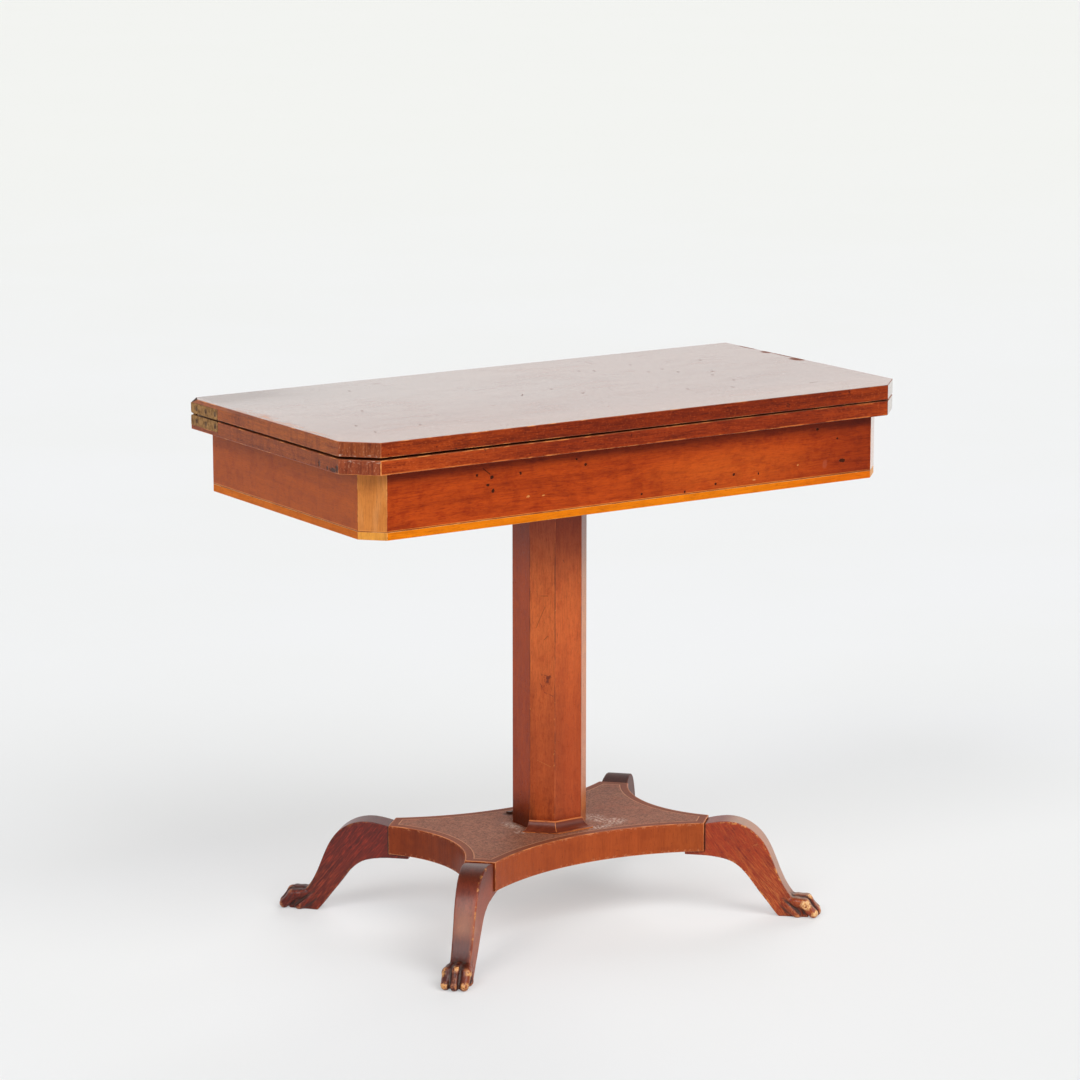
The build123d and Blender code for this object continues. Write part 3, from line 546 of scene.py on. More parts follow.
def column_marks(wood, low_stain):
    """The post: a painted shadow of the frieze at its top, darker towards the foot with dirt and
    painted shade there, a knot, a bruise and scratches.
    """
    z = wood.part("Z")
    wood.stain(wood.patch((16.0, 16.0, 34.0), 72.0, 3.0, 0.6, 0.54, 0.74), (0.84, 0.74, 0.70), 0.5)
    wood.smudges((11.0, 11.0, 20.0), 68.0, (0.84, 0.68, 0.62), 0.5)
    wood.smudges((2.6, 2.6, 5.0), 69.0, (0.84, 0.70, 0.64), 0.45)
    right = wood.beyond("X", -24.0, -20.0)
    wood.stain(right, (0.90, 0.82, 0.74), 0.9)
    # Painted shadow: the right-hand faces darker at the top, under the frieze.
    wood.stain(wood.both(right, wood.step(z, 500.0, 580.0)), (0.90, 0.74, 0.60), 0.9)
    # Painted shadow of the frieze over the top of the post.
    top = wood.step(z, 462.0, 600.0)
    wood.stain(top, (0.28, 0.22, 0.50), 0.95)
    wood.stain(wood.step(z, 470.0, 240.0), low_stain, 0.9)
    # Painted shade at the base: the foot of the left face, and the whole post just above the
    # moulding.
    foot = wood.step(z, 200.0, 142.0)
    leftward = wood.beyond("X", -40.0, -47.0)
    wood.stain(wood.both(foot, leftward), (0.36, 0.40, 0.46), 0.9)
    wood.stain(wood.step(z, 158.0, 148.5), (0.62, 0.56, 0.56), 0.8)
    rightward = wood.both(wood.beyond("X", -20.0, 4.0), wood.step(z, 480.0, 300.0))
    wood.shade(rightward, tone(212, 84, 30), 0.16)
    dirt = wood.patch((5.0, 5.0, 7.0), 73.0, 4.0, 0.65, 0.50, 0.66)
    wood.stain(wood.both(wood.step(z, 240.0, 150.0), dirt), (0.55, 0.46, 0.44), 0.5)
    seam_marks(wood)
    knot = wood.spots([
        (-29.4, -40.9, 356.5, 2.6, 3.0, 3.0), (-30.0, -40.3, 351.0, 1.8, 2.0, 3.4),
        (-27.6, -42.7, 358.5, 1.4, 1.6, 1.6), (-35.5, -34.8, 360.0, 0.8, 1.0, 1.2),
        (-36.0, -34.3, 344.0, 0.8, 1.0, 1.8), (-24.6, -45.7, 330.5, 0.8, 1.0, 1.4),
    ], place=wood.ragged(2.4, 3.0, 71.0))
    rays = wood.strokes([
        (-25.0, -45.3, 357.0, -36.5, -33.8, 361.5, 0.4),
        (-28.4, -41.9, 353.0, -35.8, -34.5, 340.0, 0.5),
        (-37.5, -32.8, 348.0, -34.0, -36.3, 337.5, 0.5),
        (-33.0, -37.3, 335.0, -24.5, -45.8, 330.5, 0.4),
        (-31.0, -39.3, 361.0, -28.0, -42.3, 347.0, 0.5),
        (-33.5, -36.8, 357.0, -31.0, -39.3, 344.0, 0.4),
    ])
    rays = wood.both(rays, wood.patch((2.4, 2.4, 3.0), 76.0, 3.0, 0.7, 0.44, 0.54))
    bruise = wood.spots([(-31.5, -38.8, 348.0, 7.0, 8.0, 14.0)], soft=0.6)
    wood.stain(bruise, (0.78, 0.66, 0.62), 0.45)
    wood.shade(wood.any_of(knot, rays), tone(92, 34, 26), 0.8)
    wood.raise_by(knot, -0.3)
    dark = wood.strokes([
        (-32.5, -37.8, 458.4, -41.6, -28.7, 427.6, 0.35),
        (-29.4, -40.9, 416.9, -33.5, -36.8, 410.9, 0.45),
        (-36.5, -33.8, 474.0, -29.5, -40.8, 474.4, 0.35),
        (-9.1, -48.0, 525.0, -7.0, -48.0, 521.0, 0.5),
    ])
    wood.shade(dark, dark_mark, 0.55)
    wood.raise_by(dark, -0.3)
    light = wood.strokes([(-40.6, -29.7, 236.1, -26.3, -44.0, 227.0, 0.4)])
    wood.shade(light, golden, 0.18)
    wood.shade(wood.patch((1.6, 1.6, 3.4), 75.0, 2.0, 0.6, 0.70, 0.76), dark_mark, 0.5)


def seam_marks(wood):
    """The arrises of the column: a dark broken seam with small gouges."""
    across = wood.calc("ABSOLUTE", wood.part("X"))
    along = wood.calc("ABSOLUTE", wood.part("Y"))
    flat = wood.join(across, along, 0.0)
    first = wood.vector("DISTANCE", flat, (column_flat, column_arris, 0.0))
    second = wood.vector("DISTANCE", flat, (column_arris, column_flat, 0.0))
    away = wood.calc("MINIMUM", first, second)
    broken = wood.patch((5.0, 5.0, 22.0), 77.0, 3.0, 0.6, 0.40, 0.62)
    wood.shade(wood.both(wood.step(away, 1.2, 0.5), broken), tone(90, 36, 22), 0.65)
    gouged = wood.patch((3.0, 3.0, 6.0), 79.0, 2.0, 0.6, 0.68, 0.74)
    wood.shade(wood.both(wood.step(away, 2.4, 1.2), gouged), golden, 0.6)


def moulding_marks(wood):
    """The foot moulding: darker in its hollow, golden worn lips."""
    z = wood.part("Z")
    hollow = wood.line(z, moulding_hollow, 3.4, 2.6)
    wood.stain(hollow, (0.60, 0.50, 0.50), 0.7)
    lips = wood.any_of(
        wood.step(z, moulding_top - 1.9, moulding_top - 1.1),
        wood.step(z, platform_top + 1.7, platform_top + 1.0),
    )
    rubbed = wood.patch((12.0, 12.0, 6.0), 45.0, 3.0, 0.6, 0.34, 0.48)
    wood.shade(wood.both(lips, rubbed), tone(214, 122, 66), 0.85)


def platform_border(wood):
    """How far a place of the platform's top is from its outline, inward."""
    x = wood.calc("ABSOLUTE", wood.part("X"))
    y = wood.calc("ABSOLUTE", wood.part("Y"))
    flat = wood.join(x, y, 0.0)
    front = wood.vector("DISTANCE", flat, (0.0, front_arc_centre, 0.0))
    side = wood.vector("DISTANCE", flat, (side_arc_centre, 0.0, 0.0))
    corner = wood.calc("SUBTRACT", corner_cut_reach, wood.calc("ADD", x, y))
    borders = [
        wood.calc("SUBTRACT", front, front_arc_radius),
        wood.calc("SUBTRACT", side, side_arc_radius),
        wood.calc("MULTIPLY", corner, math.sqrt(0.5)),
    ]
    return wood.several("MINIMUM", borders)


def platform_marks(wood):
    """The platform's top: crossbanded border, dull old field and glue left
    by the lost lengths of moulding."""
    inward = platform_border(wood)
    border = wood.step(inward, platform_border_width, platform_border_width - 0.6)
    leather = wood.own_noise((3.0, 2.6, 3.0), 83.0, 4.0, 0.75)
    wood.stain(wood.step(leather, 0.46, 0.58), (0.40, 0.33, 0.34), 0.85)
    wood.raise_by(leather, 0.25)
    wood.shade(wood.patch(34.0, 85.0, 3.0, 0.6, 0.50, 0.72), tone(150, 84, 60), 0.35)
    wood.shade(border, tone(121, 60, 38), 0.85)
    banded = wood.patch((2.0, 2.0, 40.0), 87.0, 2.0, 0.5, 0.48, 0.66)
    wood.stain(wood.both(border, banded), (0.80, 0.72, 0.68), 0.6)
    wood.shade(wood.line(inward, platform_border_width, 0.5), tone(92, 46, 30), 0.7)
    wood.shade(wood.line(inward, platform_border_width + 1.6, 0.7), tone(196, 136, 98), 0.7)
    wood.shade(wood.step(inward, 2.6, 1.4), tone(204, 132, 84), 0.3)
    foot = wood.ragged(7.0, 5.0, 89.0)
    residue = wood.spots([
        (62.0, -26.0, platform_top, 14.0, 22.0, 8.0),
        (76.0, -54.0, platform_top, 16.0, 14.0, 8.0), (42.0, -68.0, platform_top, 20.0, 7.0, 8.0),
        (-59.0, 6.0, platform_top, 9.0, 20.0, 8.0), (-66.0, -26.0, platform_top, 8.0, 9.0, 8.0),
    ], soft=0.5, place=foot)
    residue = wood.both(residue, wood.patch(4.0, 91.0, 3.0, 0.7, 0.44, 0.60))
    wood.shade(residue, tone(214, 196, 184), 0.65)
    wood.raise_by(residue, 0.3)
    wood.roughen(residue, 0.3)
    hole = wood.spots([(-31.0, 60.0, platform_top, 8.0, 7.0, 5.0)], place=foot)
    wood.shade(hole, dark_mark, 0.9)
    wood.raise_by(hole, -0.6)


def platform_edge_marks(wood):
    """The edges of the platform: chipped, and pale along both arrises."""
    chip = wood.own_noise((6.0, 6.0, 5.0), 93.0, 3.0, 0.7)
    z = wood.part("Z")
    wood.stain(wood.beyond("X", 60.0, 200.0), (0.88, 0.96, 1.0), 0.9)
    low = wood.any_of(wood.step(z, 98.0, 92.5), wood.step(z, 129.0, 133.5))
    wood.shade(wood.both(low, wood.step(chip, 0.52, 0.60)), tone(214, 140, 96), 0.5)
    wood.stain(wood.step(chip, 0.66, 0.72), (0.40, 0.30, 0.28), 0.8)


def leg_look(
    name, base, seed, fleck_tone, fleck, knuckles, arris_wear, worn_and_sheen_side=1.0,
    painted_sheen=0.0, pale=0.0, gloss=0.25,
):
    """The wood of one leg: darker where dirt lies, with painted shade in its grooves,
    hollows, root joint and upward faces, golden where it is worn, and with painted
    sheen and painted reflection where the light catches it. worn_and_sheen_side is
    1 or -1, the side of the leg's own Y that is rubbed and that carries the painted
    sheen. fleck, knuckles, arris_wear, painted_sheen and pale say how strongly those
    marks show: painted_sheen for the painted sheen with its darker top and ankle,
    pale for the painted reflection on the crest."""
    wood = Wood(
        name, *warm(base, 0.25), "X", seed,
        figure=9.0, rough=0.42, grain=0.45, mottle=0.4, turn=-52.0, places="home",
    )
    x, z = wood.part("X"), wood.part("Z")
    wood.smudges((4.0, 4.0, 2.4), seed + 13.0, (0.60, 0.46, 0.42), 0.55)
    seen_side = wood.calc("MULTIPLY", wood.part("Y"), worn_and_sheen_side)
    streak = wood.noise(wood.along(17.0, 1.8), seed + 8.0, 4.0, 0.7)
    wood.shade(wood.step(streak, 0.48, 0.66), fleck_tone, fleck)
    wood.stain(wood.step(streak, 0.46, 0.34), (0.62, 0.50, 0.46), 0.5)
    # On the seen side: painted sheen just below the root, and a lighter golden lower part that is
    # partly worn flecks and partly painted sheen.
    lower = wood.both(wood.step(seen_side, 8.0, 14.0), wood.step(z, 100.0, 40.0))
    beside = wood.both(wood.step(seen_side, 8.0, 14.0), wood.step(z, 132.0, 104.0))
    wood.shade(beside, tone(250, 104, 24), 0.45 * painted_sheen)
    lower = wood.both(lower, wood.step(streak, 0.40, 0.60))
    wood.shade(lower, tone(222, 138, 72), 0.34 * arris_wear)
    # Painted sheen: a soft highlight down the middle of the leg's face.
    shine_place = wood.ragged(9.0, 5.0, seed)
    shine = wood.spots([(104.0, 0.0, 64.0, 26.0, 15.0, 32.0)], soft=0.8, place=shine_place)
    wood.shade(wood.both(shine, wood.step(z, 46.0, 68.0)), tone(204, 154, 126), painted_sheen)
    # Painted shade: the upward faces darker in patches, standing in for their dark reflection.
    over = wood.baked("over")
    painted_dark_tops = wood.patch((40.0, 14.0, 40.0), seed + 9.0, 3.0, 0.6, 0.10, 0.45)
    wood.stain(wood.both(over, painted_dark_tops), (0.44, 0.36, 0.38), 0.85)
    # Painted reflection of the pale backdrop on the outward crest.
    crest = wood.baked("crest")
    wood.shade(wood.both(crest, wood.step(x, 20.0, 50.0)), tone(190, 166, 140), pale)
    # With the painted sheen goes a painted reflection pattern: a darker top, and a darker crest
    # above the ankle.
    if painted_sheen:
        wood.stain(wood.step(z, 96.0, 124.0), (0.62, 0.52, 0.52), 0.8)
        wood.stain(wood.both(crest, wood.step(z, 74.0, 50.0)), (0.50, 0.36, 0.30), 0.85)
    ankle = wood.step(x, 106.0, 124.0)
    wood.stain(ankle, (0.66, 0.56, 0.54), 0.7)
    deep = wood.baked("deep")
    worn = wood.baked("worn")
    rub = wood.own_noise(7.0, seed + 10.0, 4.0, 0.65)
    here = wood.step(seen_side, -4.0, 6.0)
    free = wood.step(x, 14.0, 34.0)
    wood.shade(wood.both(worn, here, free, wood.step(rub, 0.50, 0.58)), golden, arris_wear)
    flake = wood.own_noise(3.0, seed + 14.0, 3.0, 0.7)
    carved = wood.both(worn, wood.step(x, 112.0, 122.0), wood.step(rub, 0.38, 0.52))
    wood.shade(carved, tone(182, 112, 72), 0.5)
    wood.shade(wood.both(carved, wood.step(flake, 0.50, 0.58)), tone(206, 132, 92), 0.6)
    bumps = wood.spots([
        (148.0, -18.5, 20.0, 7.5, 6.0, 7.0), (148.0, 18.5, 20.0, 7.5, 6.0, 7.0),
        (151.0, 0.0, 29.5, 6.0, 5.0, 4.0), (162.0, -15.0, 7.5, 6.5, 6.5, 4.6),
        (162.0, 15.0, 7.5, 6.5, 6.5, 4.6),
    ], place=wood.ragged(4.0, 4.0, seed + 12.0))
    bare = wood.both(bumps, wood.step(rub, 0.43, 0.52))
    wood.shade(bare, tone(214, 140, 68), knuckles)
    core = wood.both(bare, wood.step(flake, 0.40, 0.54))
    wood.shade(core, tone(240, 200, 146), knuckles * (0.45 + pale))
    # Painted shade in the gap where the leg meets the platform.
    joint = wood.both(wood.step(x, 3.4, 1.2), wood.step(z, 88.0, 96.0))
    wood.shade(wood.both(joint, wood.step(rub, 0.28, 0.42)), painted_crevice_shade, 0.8)
    # Painted shade in the grooves and hollows of the carving.
    wood.shade(deep, painted_crevice_shade, 0.92)
    wood.roughen(deep, 0.2)
    scuff = wood.hairlines((30.0, 12.0, 12.0), seed + 11.0, 0.006, (0.62, 0.68))
    wood.shade(scuff, golden, 0.2)
    return wood.done(specular=gloss, coat=1.4 * gloss, coat_rough=0.3)


def bare_wood(name, base, seed, axis="X"):
    """Wood without polish, as on hidden pieces, undersides and breaks."""
    shades = [tone(*[value * share for value in base]) for share in (0.84, 1.0, 1.1)]
    wood = Wood(name, *shades, axis, seed, figure=10.0, rough=0.75)
    wood.stain(wood.patch(70.0, seed + 12.0, 4.0, 0.6, 0.45, 0.70), (0.66, 0.60, 0.54), 0.7)
    return wood.done(specular=0.25)


def aged_brass():
    """Dull golden brass with brown patina."""
    brass = Shader("aged_brass")
    patina = brass.noise(7.0, 101.0, 4.0, 0.65)
    brass.colour = brass.mix(brass.step(patina, 0.35, 0.68), tone(170, 124, 66), tone(122, 84, 44))
    spots = brass.noise(2.2, 103.0, 2.0, 0.5)
    brass.shade(brass.step(spots, 0.64, 0.72), tone(70, 44, 28), 0.35)
    brass.rough = 0.38
    brass.roughen(brass.step(patina, 0.35, 0.70), 0.25)
    brush = brass.noise((14.0, 14.0, 0.6), 105.0, 2.0, 0.5)
    brass.raise_by(brush, 0.05)
    return brass.done(metal=0.85)


def old_iron(name, base, seed):
    """Dark metal with rust."""
    iron = Shader(name)
    rust = iron.noise(3.0, seed, 4.0, 0.65)
    iron.colour = iron.mix(iron.step(rust, 0.42, 0.66), base, tone(84, 48, 34))
    iron.rough = 0.42
    iron.roughen(iron.step(rust, 0.42, 0.70), 0.3)
    iron.raise_by(rust, 0.12)
    return iron.done(metal=0.8)


def green_baize():
    """Worn wool cloth: a felted nap with faint rubbed places."""
    cloth = Shader("green_baize")
    nap = cloth.noise(1.1, 111.0, 4.0, 0.75)
    cloth.colour = cloth.mix(nap, tone(30, 66, 44), tone(62, 108, 74))
    rub = cloth.noise((150.0, 110.0, 3.0), 113.0, 5.0, 0.7)
    cloth.shade(cloth.step(rub, 0.44, 0.72), tone(92, 118, 80), 0.4)
    stain = cloth.noise((40.0, 40.0, 2.0), 115.0, 3.0, 0.6)
    cloth.stain(cloth.step(stain, 0.60, 0.72), (0.62, 0.62, 0.56), 0.5)
    cloth.rough = 0.95
    cloth.raise_by(nap, 0.35)
    return cloth.done(specular=0.15, sheen=0.35)


floor_fill = 0.42


def floor_look():
    """Plain pale studio floor, whose shadows the camera sees a little filled."""
    floor = Shader("pale_floor")
    soft = floor.noise(900.0, 121.0, 3.0, 0.5)
    floor.colour = floor.mix(floor.step(soft, 0.35, 0.65), tone(236, 237, 237), tone(237, 238, 239))
    far = floor.vector("DISTANCE", floor.own_place, (-1700.0, -2570.0, 0.0))
    floor.shade(floor.step(far, 5000.0, 15000.0), tone(238, 239, 235), 0.8)
    floor.rough = 0.9
    ray = floor.add("LightPath").outputs["Is Camera Ray"]
    glow = floor.fill(floor.add("Emission"), {"Color": floor.colour})
    share = floor.calc("MULTIPLY", ray, floor_fill)
    blend = floor.fill(
        floor.add("MixShader"), {0: share, 1: floor.skin.outputs["BSDF"], 2: glow[0]}
    )
    floor.feed(floor.output.inputs["Surface"], blend[0])
    return floor.done(specular=0.05)


# Mesh helpers. The angles, in degrees, say which faces count as flat, which
# edges get a rounding, and which edges still show as creases.
flat_angle = 0.5
sharp_angle = 30.0
crease_angle = 12.0
cloth_crease_angle = 50.0
wide_rounding = 0.8
rounding = 0.5
cloth_rounding = 0.45
fine_rounding = 0.4


def in_scene(name, data):
    """A new object in the scene, made from its mesh, lamp or camera."""
    made = bpy.data.objects.new(name, data)
    bpy.context.scene.collection.objects.link(made)
    return made


def mesh_of(work, name, looks):
    """A mesh with looks from a working copy, which is then let go."""
    mesh = bpy.data.meshes.new(name)
    work.to_mesh(mesh)
    work.free()
    for look in looks:
        mesh.materials.append(look)
    return mesh


def new_piece(name, mesh, body):
    """A smooth piece that rides on a body."""
    piece = in_scene(name, mesh)
    mesh.shade_smooth()
    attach(piece, body)
    return piece


def clean_copy(node):
    """The CAD mesh as one closed skin with large flat faces."""
    work = bmesh.new()
    work.from_mesh(nodes[node].data)
    bmesh.ops.remove_doubles(work, verts=work.verts, dist=1e-5)
    bmesh.ops.dissolve_limit(
        work,
        angle_limit=math.radians(flat_angle),
        use_dissolve_boundaries=False,
        verts=work.verts,
        edges=work.edges,
    )
    return work


def soften(work, width, look_number):
    """Rounds the sharp edges of a mesh, away from its small holes, and gives
    the roundings their look."""
    reach = width * millimetre
    tight = set()
    for edge in work.edges:
        if edge.calc_length() < reach * 1.4:
            tight.update(edge.verts)
    sharp = [
        edge
        for edge in work.edges
        if edge.is_manifold
        and edge.calc_face_angle() > math.radians(sharp_angle)
        and not tight.intersection(edge.verts)
    ]
    bmesh.ops.bevel(
        work,
        geom=sharp,
        offset=reach,
        offset_type="OFFSET",
        segments=2,
        profile=0.5,
        affect="EDGES",
        clamp_overlap=False,
        material=look_number,
    )


def dressed(node, looks, pick, bevel, arris):
    """A copy of a CAD node with softened arrises and a look for each face.
    pick gives the number of a face's look from its direction and middle."""
    work = clean_copy(node)
    for face in work.faces:
        face.material_index = pick(face.normal, face.calc_center_median() / millimetre)
    soften(work, bevel, len(looks))
    mesh = mesh_of(work, node + "_dressed", [*looks, arris])
    piece = new_piece(node + "_dressed", mesh, node_body[node])
    mesh.set_sharp_from_angle(angle=math.radians(crease_angle))
    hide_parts(node)
    return piece


def only_one(normal, middle):
    """The pick of a piece that has one look."""
    return 0


def repaint(node, material):
    """A better material on a CAD node that keeps its mesh."""
    slots = nodes[node].data.materials
    for index in range(len(slots)):
        slots[index] = material


# Legs, sculpted on a grid in the frame of one leg: X outward on the
# platform's diagonal, Z up from the floor

leg_reach = 167.5
leg_height = 137.0
leg_lip = 28.0
joint_top = 131.5
lip_bottom = 85.0
leg_root = (192.0, 117.5)
paw_start = 112.0
grid_step = 1.1
line_samples = 12
edge_softness = 1.5
toe_softness = 2.0
groove_softness = 1.4
over_points = [
    (0.0, joint_top), (16.75, 135.36), (33.5, 137.0), (59.46, 131.11), (81.24, 113.98),
    (96.31, 87.68), (105.53, 65.08), (114.74, 45.90), (126.46, 29.46),
]
under_points = [
    (108.04, 0.0), (92.13, 19.87), (80.07, 34.94), (69.01, 50.01), (56.62, 65.08), (39.87, 77.82),
    (20.1, 83.30), (0.0, lip_bottom),
]
heel_point = (150.75, 6.2)
half_width_stations = [(-28.0, 19.0), (15.1, 19.0), (113.9, 14.5), (150.75, 12.6)]
# Toes and grooves are rows of X, distance from the middle, Z and radius
middle_toe = [
    (118.0, 0.0, 22.0, 7.4), (134.0, 0.0, 23.4, 7.9), (147.5, 0.0, 22.4, 8.5),
    (155.0, 0.0, 13.4, 6.6), (160.4, 0.0, 6.9, 7.0),
]
outer_toe = [
    (118.0, 8.6, 21.0, 7.0), (133.0, 11.2, 21.8, 7.4), (145.0, 12.4, 20.4, 8.2),
    (152.0, 12.8, 12.6, 6.5), (157.9, 12.6, 6.9, 7.0),
]
side_toe = [
    (108.0, 6.6, 24.0, 6.6), (122.0, 9.8, 14.6, 7.6), (135.0, 13.0, 6.6, 7.8),
]
# Between two toes, and along and below the side toe
groove_paths = [
    [
        (123.0, 4.8, 34.0, 0.6), (129.0, 5.4, 31.8, 1.4), (138.0, 6.0, 31.0, 1.9),
        (149.0, 6.4, 28.0, 2.0), (156.5, 6.4, 18.0, 2.1), (162.0, 6.4, 9.0, 2.2),
        (164.0, 6.4, 0.0, 2.4),
    ],
    [
        (112.0, 15.0, 28.0, 0.5), (119.0, 15.6, 23.4, 1.3), (133.0, 17.4, 13.0, 1.9),
        (141.0, 19.0, 6.5, 2.3), (147.0, 20.0, 0.0, 2.6),
    ],
    [
        (108.0, 15.2, 17.5, 0.5), (113.5, 15.5, 12.6, 1.2), (120.5, 16.4, 6.0, 1.7),
        (126.0, 17.4, 0.0, 2.0),
    ],
]


def end_slope(points, chords):
    """The slope of the curve through four points, at the first of them."""
    knots = np.concatenate([[0.0], np.cumsum(chords[:3])])
    slope = np.zeros(2)
    for one in range(4):
        others = [knots[k] for k in range(4) if k != one]
        below = np.prod([knots[one] - other for other in others])
        above = 0.0
        for left_out in range(3):
            above += np.prod([-others[k] for k in range(3) if k != left_out])
        slope += points[one] * above / below
    return slope


def smooth_line(points, start=None, end=None):
    """Samples of the smooth curve that the CAD draws through the points."""
    points = np.array(points, float)
    chords = np.linalg.norm(np.diff(points, axis=0), axis=1)
    first = end_slope(points, chords)
    last = -end_slope(points[::-1], chords[::-1])
    if start is not None:
        first = np.array(start) / np.linalg.norm(start) * np.linalg.norm(first)
    if end is not None:
        last = np.array(end) / np.linalg.norm(end) * np.linalg.norm(last)
    count = len(points)
    system = np.eye(count)
    wanted = np.zeros((count, 2))
    wanted[0], wanted[-1] = first, last
    for k in range(1, count - 1):
        before, after = chords[k - 1], chords[k]
        system[k, k - 1:k + 2] = after, 2 * (before + after), before
        rise = (points[k] - points[k - 1]) / before * after
        rise += (points[k + 1] - points[k]) / after * before
        wanted[k] = 3 * rise
    slopes = np.linalg.solve(system, wanted)
    line = []
    for k in range(count - 1):
        for share in np.linspace(0, 1, line_samples, endpoint=False):
            square, cube = share**2, share**3
            place = (2 * cube - 3 * square + 1) * points[k]
            place += (cube - 2 * square + share) * chords[k] * slopes[k]
            place += (3 * square - 2 * cube) * points[k + 1]
            place += (cube - square) * chords[k] * slopes[k + 1]
            line.append(place)
    line.append(points[-1])
    return line


def outline_distance(x, z, outline):
    """Signed distance to a closed outline, negative inside it."""
    nearest = np.full(x.shape, 1e9)
    inside = np.zeros(x.shape, bool)
    for (ax, az), (bx, bz) in zip(outline, outline[1:] + outline[:1]):
        run_x, run_z = bx - ax, bz - az
        length = run_x**2 + run_z**2
        if length < 1e-9:
            continue
        share = np.clip(((x - ax) * run_x + (z - az) * run_z) / length, 0, 1)
        away = np.hypot(x - ax - share * run_x, z - az - share * run_z)
        nearest = np.minimum(nearest, away)
        crosses = (az > z) != (bz > z)
        if run_z != 0:
            inside ^= crosses & (x < ax + (z - az) / run_z * run_x)
    return np.where(inside, -nearest, nearest)


def rod_distance(x, y, z, start, end, start_radius, end_radius):
    """Distance to a round rod whose radius changes along it."""
    run = np.subtract(end, start)
    away = [x - start[0], y - start[1], z - start[2]]
    share = sum(a * r for a, r in zip(away, run)) / np.dot(run, run)
    share = np.clip(share, 0, 1)
    gap = sum((a - share * r) ** 2 for a, r in zip(away, run))
    return np.sqrt(gap) - (start_radius + share * (end_radius - start_radius))


def stretches(path, side):
    """The stretches of a path on one side of the leg: two places and their radii."""
    for one, other in zip(path, path[1:]):
        start, end = [(x, y * side, z) for x, y, z, radius in (one, other)]
        yield start, end, one[3], other[3]


def toe_distance(x, y, z, path, side):
    """Distance to a toe that runs along its path."""
    toe = None
    for stretch in stretches(path, side):
        bone = rod_distance(x, y, z, *stretch)
        toe = bone if toe is None else blend_in(toe, bone, edge_softness)
    return toe


def blend_in(first, second, soft):
    """Both shapes together, with a soft joint."""
    near = np.maximum(soft - np.abs(first - second), 0)
    return np.minimum(first, second) - near**2 / (4 * soft)


def cut_out(shape, cutter, soft):
    """The first shape without the second, with soft lips."""
    near = np.maximum(soft - np.abs(shape + cutter), 0)
    return np.maximum(shape, -cutter) + near**2 / (4 * soft)


def blurred(field, times):
    """The field after some passes of averaging with its neighbours."""
    for _ in range(times):
        for axis in range(3):
            edge = [(1, 1) if axis == k else (0, 0) for k in range(3)]
            wide = np.pad(field, edge, mode="edge")
            low = np.take(wide, range(0, field.shape[axis]), axis)
            high = np.take(wide, range(2, field.shape[axis] + 2), axis)
            field = (low + 2 * field + high) / 4
    return field


def leg_field():
    """Signed distance to the leg on a grid, and how near each place is to a groove."""
    low = np.array([-leg_lip - 2, -23.0, -2.0])
    high = np.array([leg_reach + 2, 23.0, leg_height + 2])
    counts = np.ceil((high - low) / grid_step).astype(int) + 1
    axes = [low[k] + grid_step * np.arange(counts[k]) for k in range(3)]
    x, y, z = np.meshgrid(*axes, indexing="ij")
    over = smooth_line(over_points)
    under = smooth_line(under_points, start=(-1, 1), end=(-1, 0))
    outline = [tuple(p) for p in over]
    outline += [heel_point, (heel_point[0], 0.0)]
    outline += [tuple(p) for p in under]
    outline += [(-leg_lip, lip_bottom), (-leg_lip, platform_bottom), (0.0, platform_bottom)]
    side_view = outline_distance(x[:, 0, :], z[:, 0, :], outline)[:, None, :]
    side_view = np.broadcast_to(side_view, x.shape)
    places, halves = zip(*half_width_stations)
    width = np.abs(y) - np.interp(x, places, halves)
    shape = cut_out(side_view, -width, edge_softness)
    toes = [*itertools.product((-1, 1), (side_toe, outer_toe)), (1, middle_toe)]
    for side, toe in toes:
        shape = blend_in(shape, toe_distance(x, y, z, toe, side), toe_softness)
    near_groove = np.full(x.shape, 99.0)
    for path, side in itertools.product(groove_paths, (-1, 1)):
        for stretch in stretches(path, side):
            near_groove = np.minimum(near_groove, rod_distance(x, y, z, *stretch))
    shape = cut_out(shape, near_groove, groove_softness)
    shape = np.maximum(shape, -z)
    return low, x, shape, near_groove


